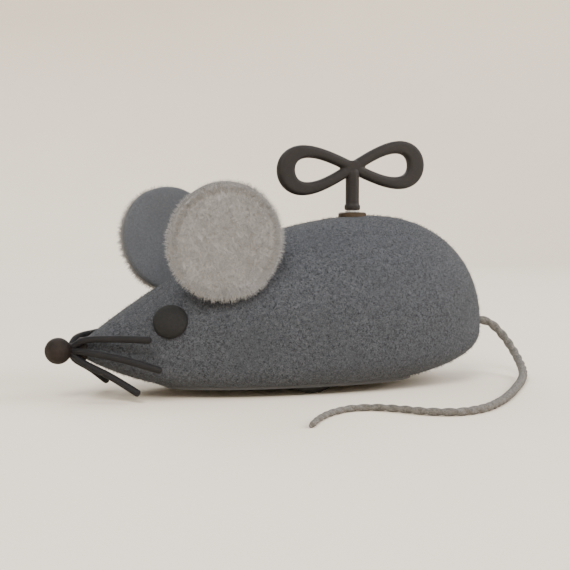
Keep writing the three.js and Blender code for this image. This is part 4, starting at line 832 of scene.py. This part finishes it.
def grooved_band(radius, inner, width, grooves, depth):
    """The closed profile of a tyre: round shoulders, and grooves cut into its tread."""
    half = width / 2
    profile = [(inner, -half + 0.1), (radius - 0.7, -half), (radius - 0.25, -half + 0.12),
               (radius, -half + 0.45)]
    pitch = (width - 0.9) / (grooves + 1)
    for groove in range(grooves):
        middle = -half + 0.45 + pitch * (groove + 1)
        profile += [(radius, middle - 0.16), (radius - depth, middle - 0.09),
                    (radius - depth, middle + 0.09), (radius, middle + 0.16)]
    return profile + [(radius, half - 0.45), (radius - 0.25, half - 0.12), (radius - 0.7, half),
                      (inner, half - 0.1), (inner, -half + 0.1)]


axle_low, axle_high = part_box("drive_axle")
AXLE_X, AXLE_Z = ((a + b) / 2 / MM for a, b in ((axle_low[i], axle_high[i]) for i in (0, 2)))
for side, name in ((-1, "left"), (1, "right")):
    low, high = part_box("tyre_" + name)
    width = (high[1] - low[1]) / MM
    middle = (high[1] + low[1]) / 2 / MM
    radius = (high[2] - low[2]) / 2 / MM
    low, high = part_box("drive_wheel_" + name)
    rim_radius = (high[2] - low[2]) / 2 / MM
    hub_width = (high[1] - low[1]) / MM
    tyre = spun(grooved_band(radius, rim_radius + 0.03, width, 3, 0.22), 72)
    finished(on_axle(tyre, AXLE_X, middle, AXLE_Z), "tyre_band_" + name, "drive_axle", "black_rubber",
             tyre_rubber, "tyre_" + name, crease=35)
    hub_middle = (high[1] + low[1]) / 2 / MM
    half = hub_width / 2
    dish = [(1.02, -half), (2.0, -half), (2.2, -half + 0.3), (3.0, -half + 0.75), (4.2, -half + 0.8),
            (4.5, -half + 0.4), (rim_radius - 0.2, -half + 0.1), (rim_radius, -half + 0.3),
            (rim_radius, half - 0.3), (rim_radius - 0.2, half - 0.1), (4.5, half - 0.4), (4.2, half - 0.8),
            (3.0, half - 0.75), (2.2, half - 0.3), (2.0, half), (1.02, half), (1.02, -half)]
    finished(on_axle(spun(dish, 64), AXLE_X, hub_middle, AXLE_Z), "wheel_disc_" + name, "drive_axle",
             "tinplate", tinplate, "drive_wheel_" + name, crease=35)
    print(name, "wheel: tyre", round(radius, 2), "rim", round(rim_radius, 2), "width", round(hub_width, 2))

low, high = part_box("rear_roller")
roller_radius = (high[2] - low[2]) / 2 / MM
roller_width = (high[1] - low[1]) / MM
roller = on_axle(spun(grooved_band(roller_radius, 0.9, roller_width, 1, 0.3), 56), KEY_X, 0, roller_radius)
finished(roller, "roller_band", "rear_roller", "black_rubber", tyre_rubber, "rear_roller", crease=35)

# %% [markdown]
# ## The works and the base
# The plates, gears, springs, pillars and screws keep the shapes of the working part. They only need a finish:
# tinplate for what is stamped from sheet, brass for the gears, steel for arbors and screws, blued steel for
# springs.

# %% Finishes for the working parts
# The base plate's dark grey is partly its lacquer and partly painted shade. It is kept darker than bare tin so
# that the plate's edge under the body reads as the shade there and does not catch the floor's light.
lacquer_and_shade_paint = Paint("grey_lacquer_and_shade", Specular_IOR_Level=0.4)
scratches = lacquer_and_shade_paint.grain(0.25, detail=4, places=lacquer_and_shade_paint.places(stretch=(10, 1, 1)))
grime = lacquer_and_shade_paint.grain(5, detail=4)
lacquer_and_shade = lacquer_and_shade_paint.finish(
    Base_Color=lacquer_and_shade_paint.mixed(lacquer_and_shade_paint.between(scratches, 0.62, 0.7) * 0.5,
                                   lacquer_and_shade_paint.mixed(grime, (0.03, 0.032, 0.036), (0.06, 0.063, 0.07)),
                                   (0.2, 0.2, 0.2)),
    Roughness=0.4 + grime * 0.25, Normal=lacquer_and_shade_paint.bumped(scratches, 0.01))
finish_of = {
    lacquer_and_shade: ("base_plate",),
    tinplate: ("lower_plate", "upper_plate", "axle_bracket", "roller_fork"),
    brass: ("ratchet_wheel", "great_wheel", "crown_wheel", "train_pinion", "axle_pinion"),
    steel: ("winding_arbor", "click_lever", "click_stud", "crown_arbor", "pillar", "base_post", "base_screw",
            "drive_axle", "roller_pin"),
    blue_steel: ("mainspring", "click_spring"),
}
painted = 0
for paint, starts in finish_of.items():
    for node, working_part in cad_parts.items():
        if node.startswith(starts):
            working_part.data.materials.clear()
            working_part.data.materials.append(paint)
            painted += 1
print(painted, "working parts painted")

# %% [markdown]
# ## Stage and light
# The toy stands on a pale warm sheet that curves up all round it, so no view shows an edge. Three large soft
# lamps and a bright room keep the shadows faint, as in a catalogue.

# %% Stage
sheet_paint = Paint("pale_sheet", Roughness=0.9, Specular_IOR_Level=0.1)
mottle = sheet_paint.grain(60, detail=2)
pale_sheet = sheet_paint.finish(
    Base_Color=sheet_paint.mixed(mottle, (0.82, 0.745, 0.63), (0.86, 0.785, 0.67)))
SHEET_FLAT, SHEET_CURVE, SHEET_HEIGHT = 700, 300, 60
CURVE_STEPS, SHEET_STEPS = 12, 96
sweep = [(0, 0), (SHEET_FLAT, 0)]
for step in range(1, CURVE_STEPS + 1):
    around = math.pi / 2 * step / CURVE_STEPS
    sweep.append((SHEET_FLAT + SHEET_CURVE * math.sin(around), SHEET_CURVE * (1 - math.cos(around))))
sweep.append((SHEET_FLAT + SHEET_CURVE, SHEET_CURVE + SHEET_HEIGHT))
stage_form = spun(sweep, SHEET_STEPS)
stage_mesh = bpy.data.meshes.new("stage")
stage_form.to_mesh(stage_mesh)
stage_form.free()
stage_mesh.shade_smooth()
stage_mesh.materials.append(pale_sheet)
stage = bpy.data.objects.new("stage", stage_mesh)
bpy.context.scene.collection.objects.link(stage)
print("stage:", len(stage_mesh.polygons), "faces,", 2 * (SHEET_FLAT + SHEET_CURVE), "mm across")

# %% Lamps
def lamp(name, place, size, watts, tint):
    """A round soft lamp at a place in metres, turned towards what the camera looks at."""
    light = bpy.data.lights.new(name, "AREA")
    light.shape = "DISK"
    light.size = size
    light.energy = watts
    light.color = tint
    holder = bpy.data.objects.new(name, light)
    holder.location = place
    holder.rotation_euler = (Vector(place) - CAMERA_TARGET).to_track_quat("Z", "Y").to_euler()
    bpy.context.scene.collection.objects.link(holder)
    print(f"{name}: {watts} W, {size} m across")


lamp("key_lamp", (-0.45, -0.55, 0.65), 0.5, 9, (1, 0.96, 0.89))
lamp("fill_lamp", (0.65, -0.35, 0.45), 0.6, 7, (1, 0.985, 1))
lamp("back_lamp", (0.1, 0.7, 0.6), 0.6, 4, (1, 1, 1))
world = bpy.data.worlds.new("room")
world.use_nodes = True
world.node_tree.nodes["Background"].inputs["Color"].default_value = (1, 0.985, 0.965, 1)
world.node_tree.nodes["Background"].inputs["Strength"].default_value = 0.84
bpy.context.scene.world = world
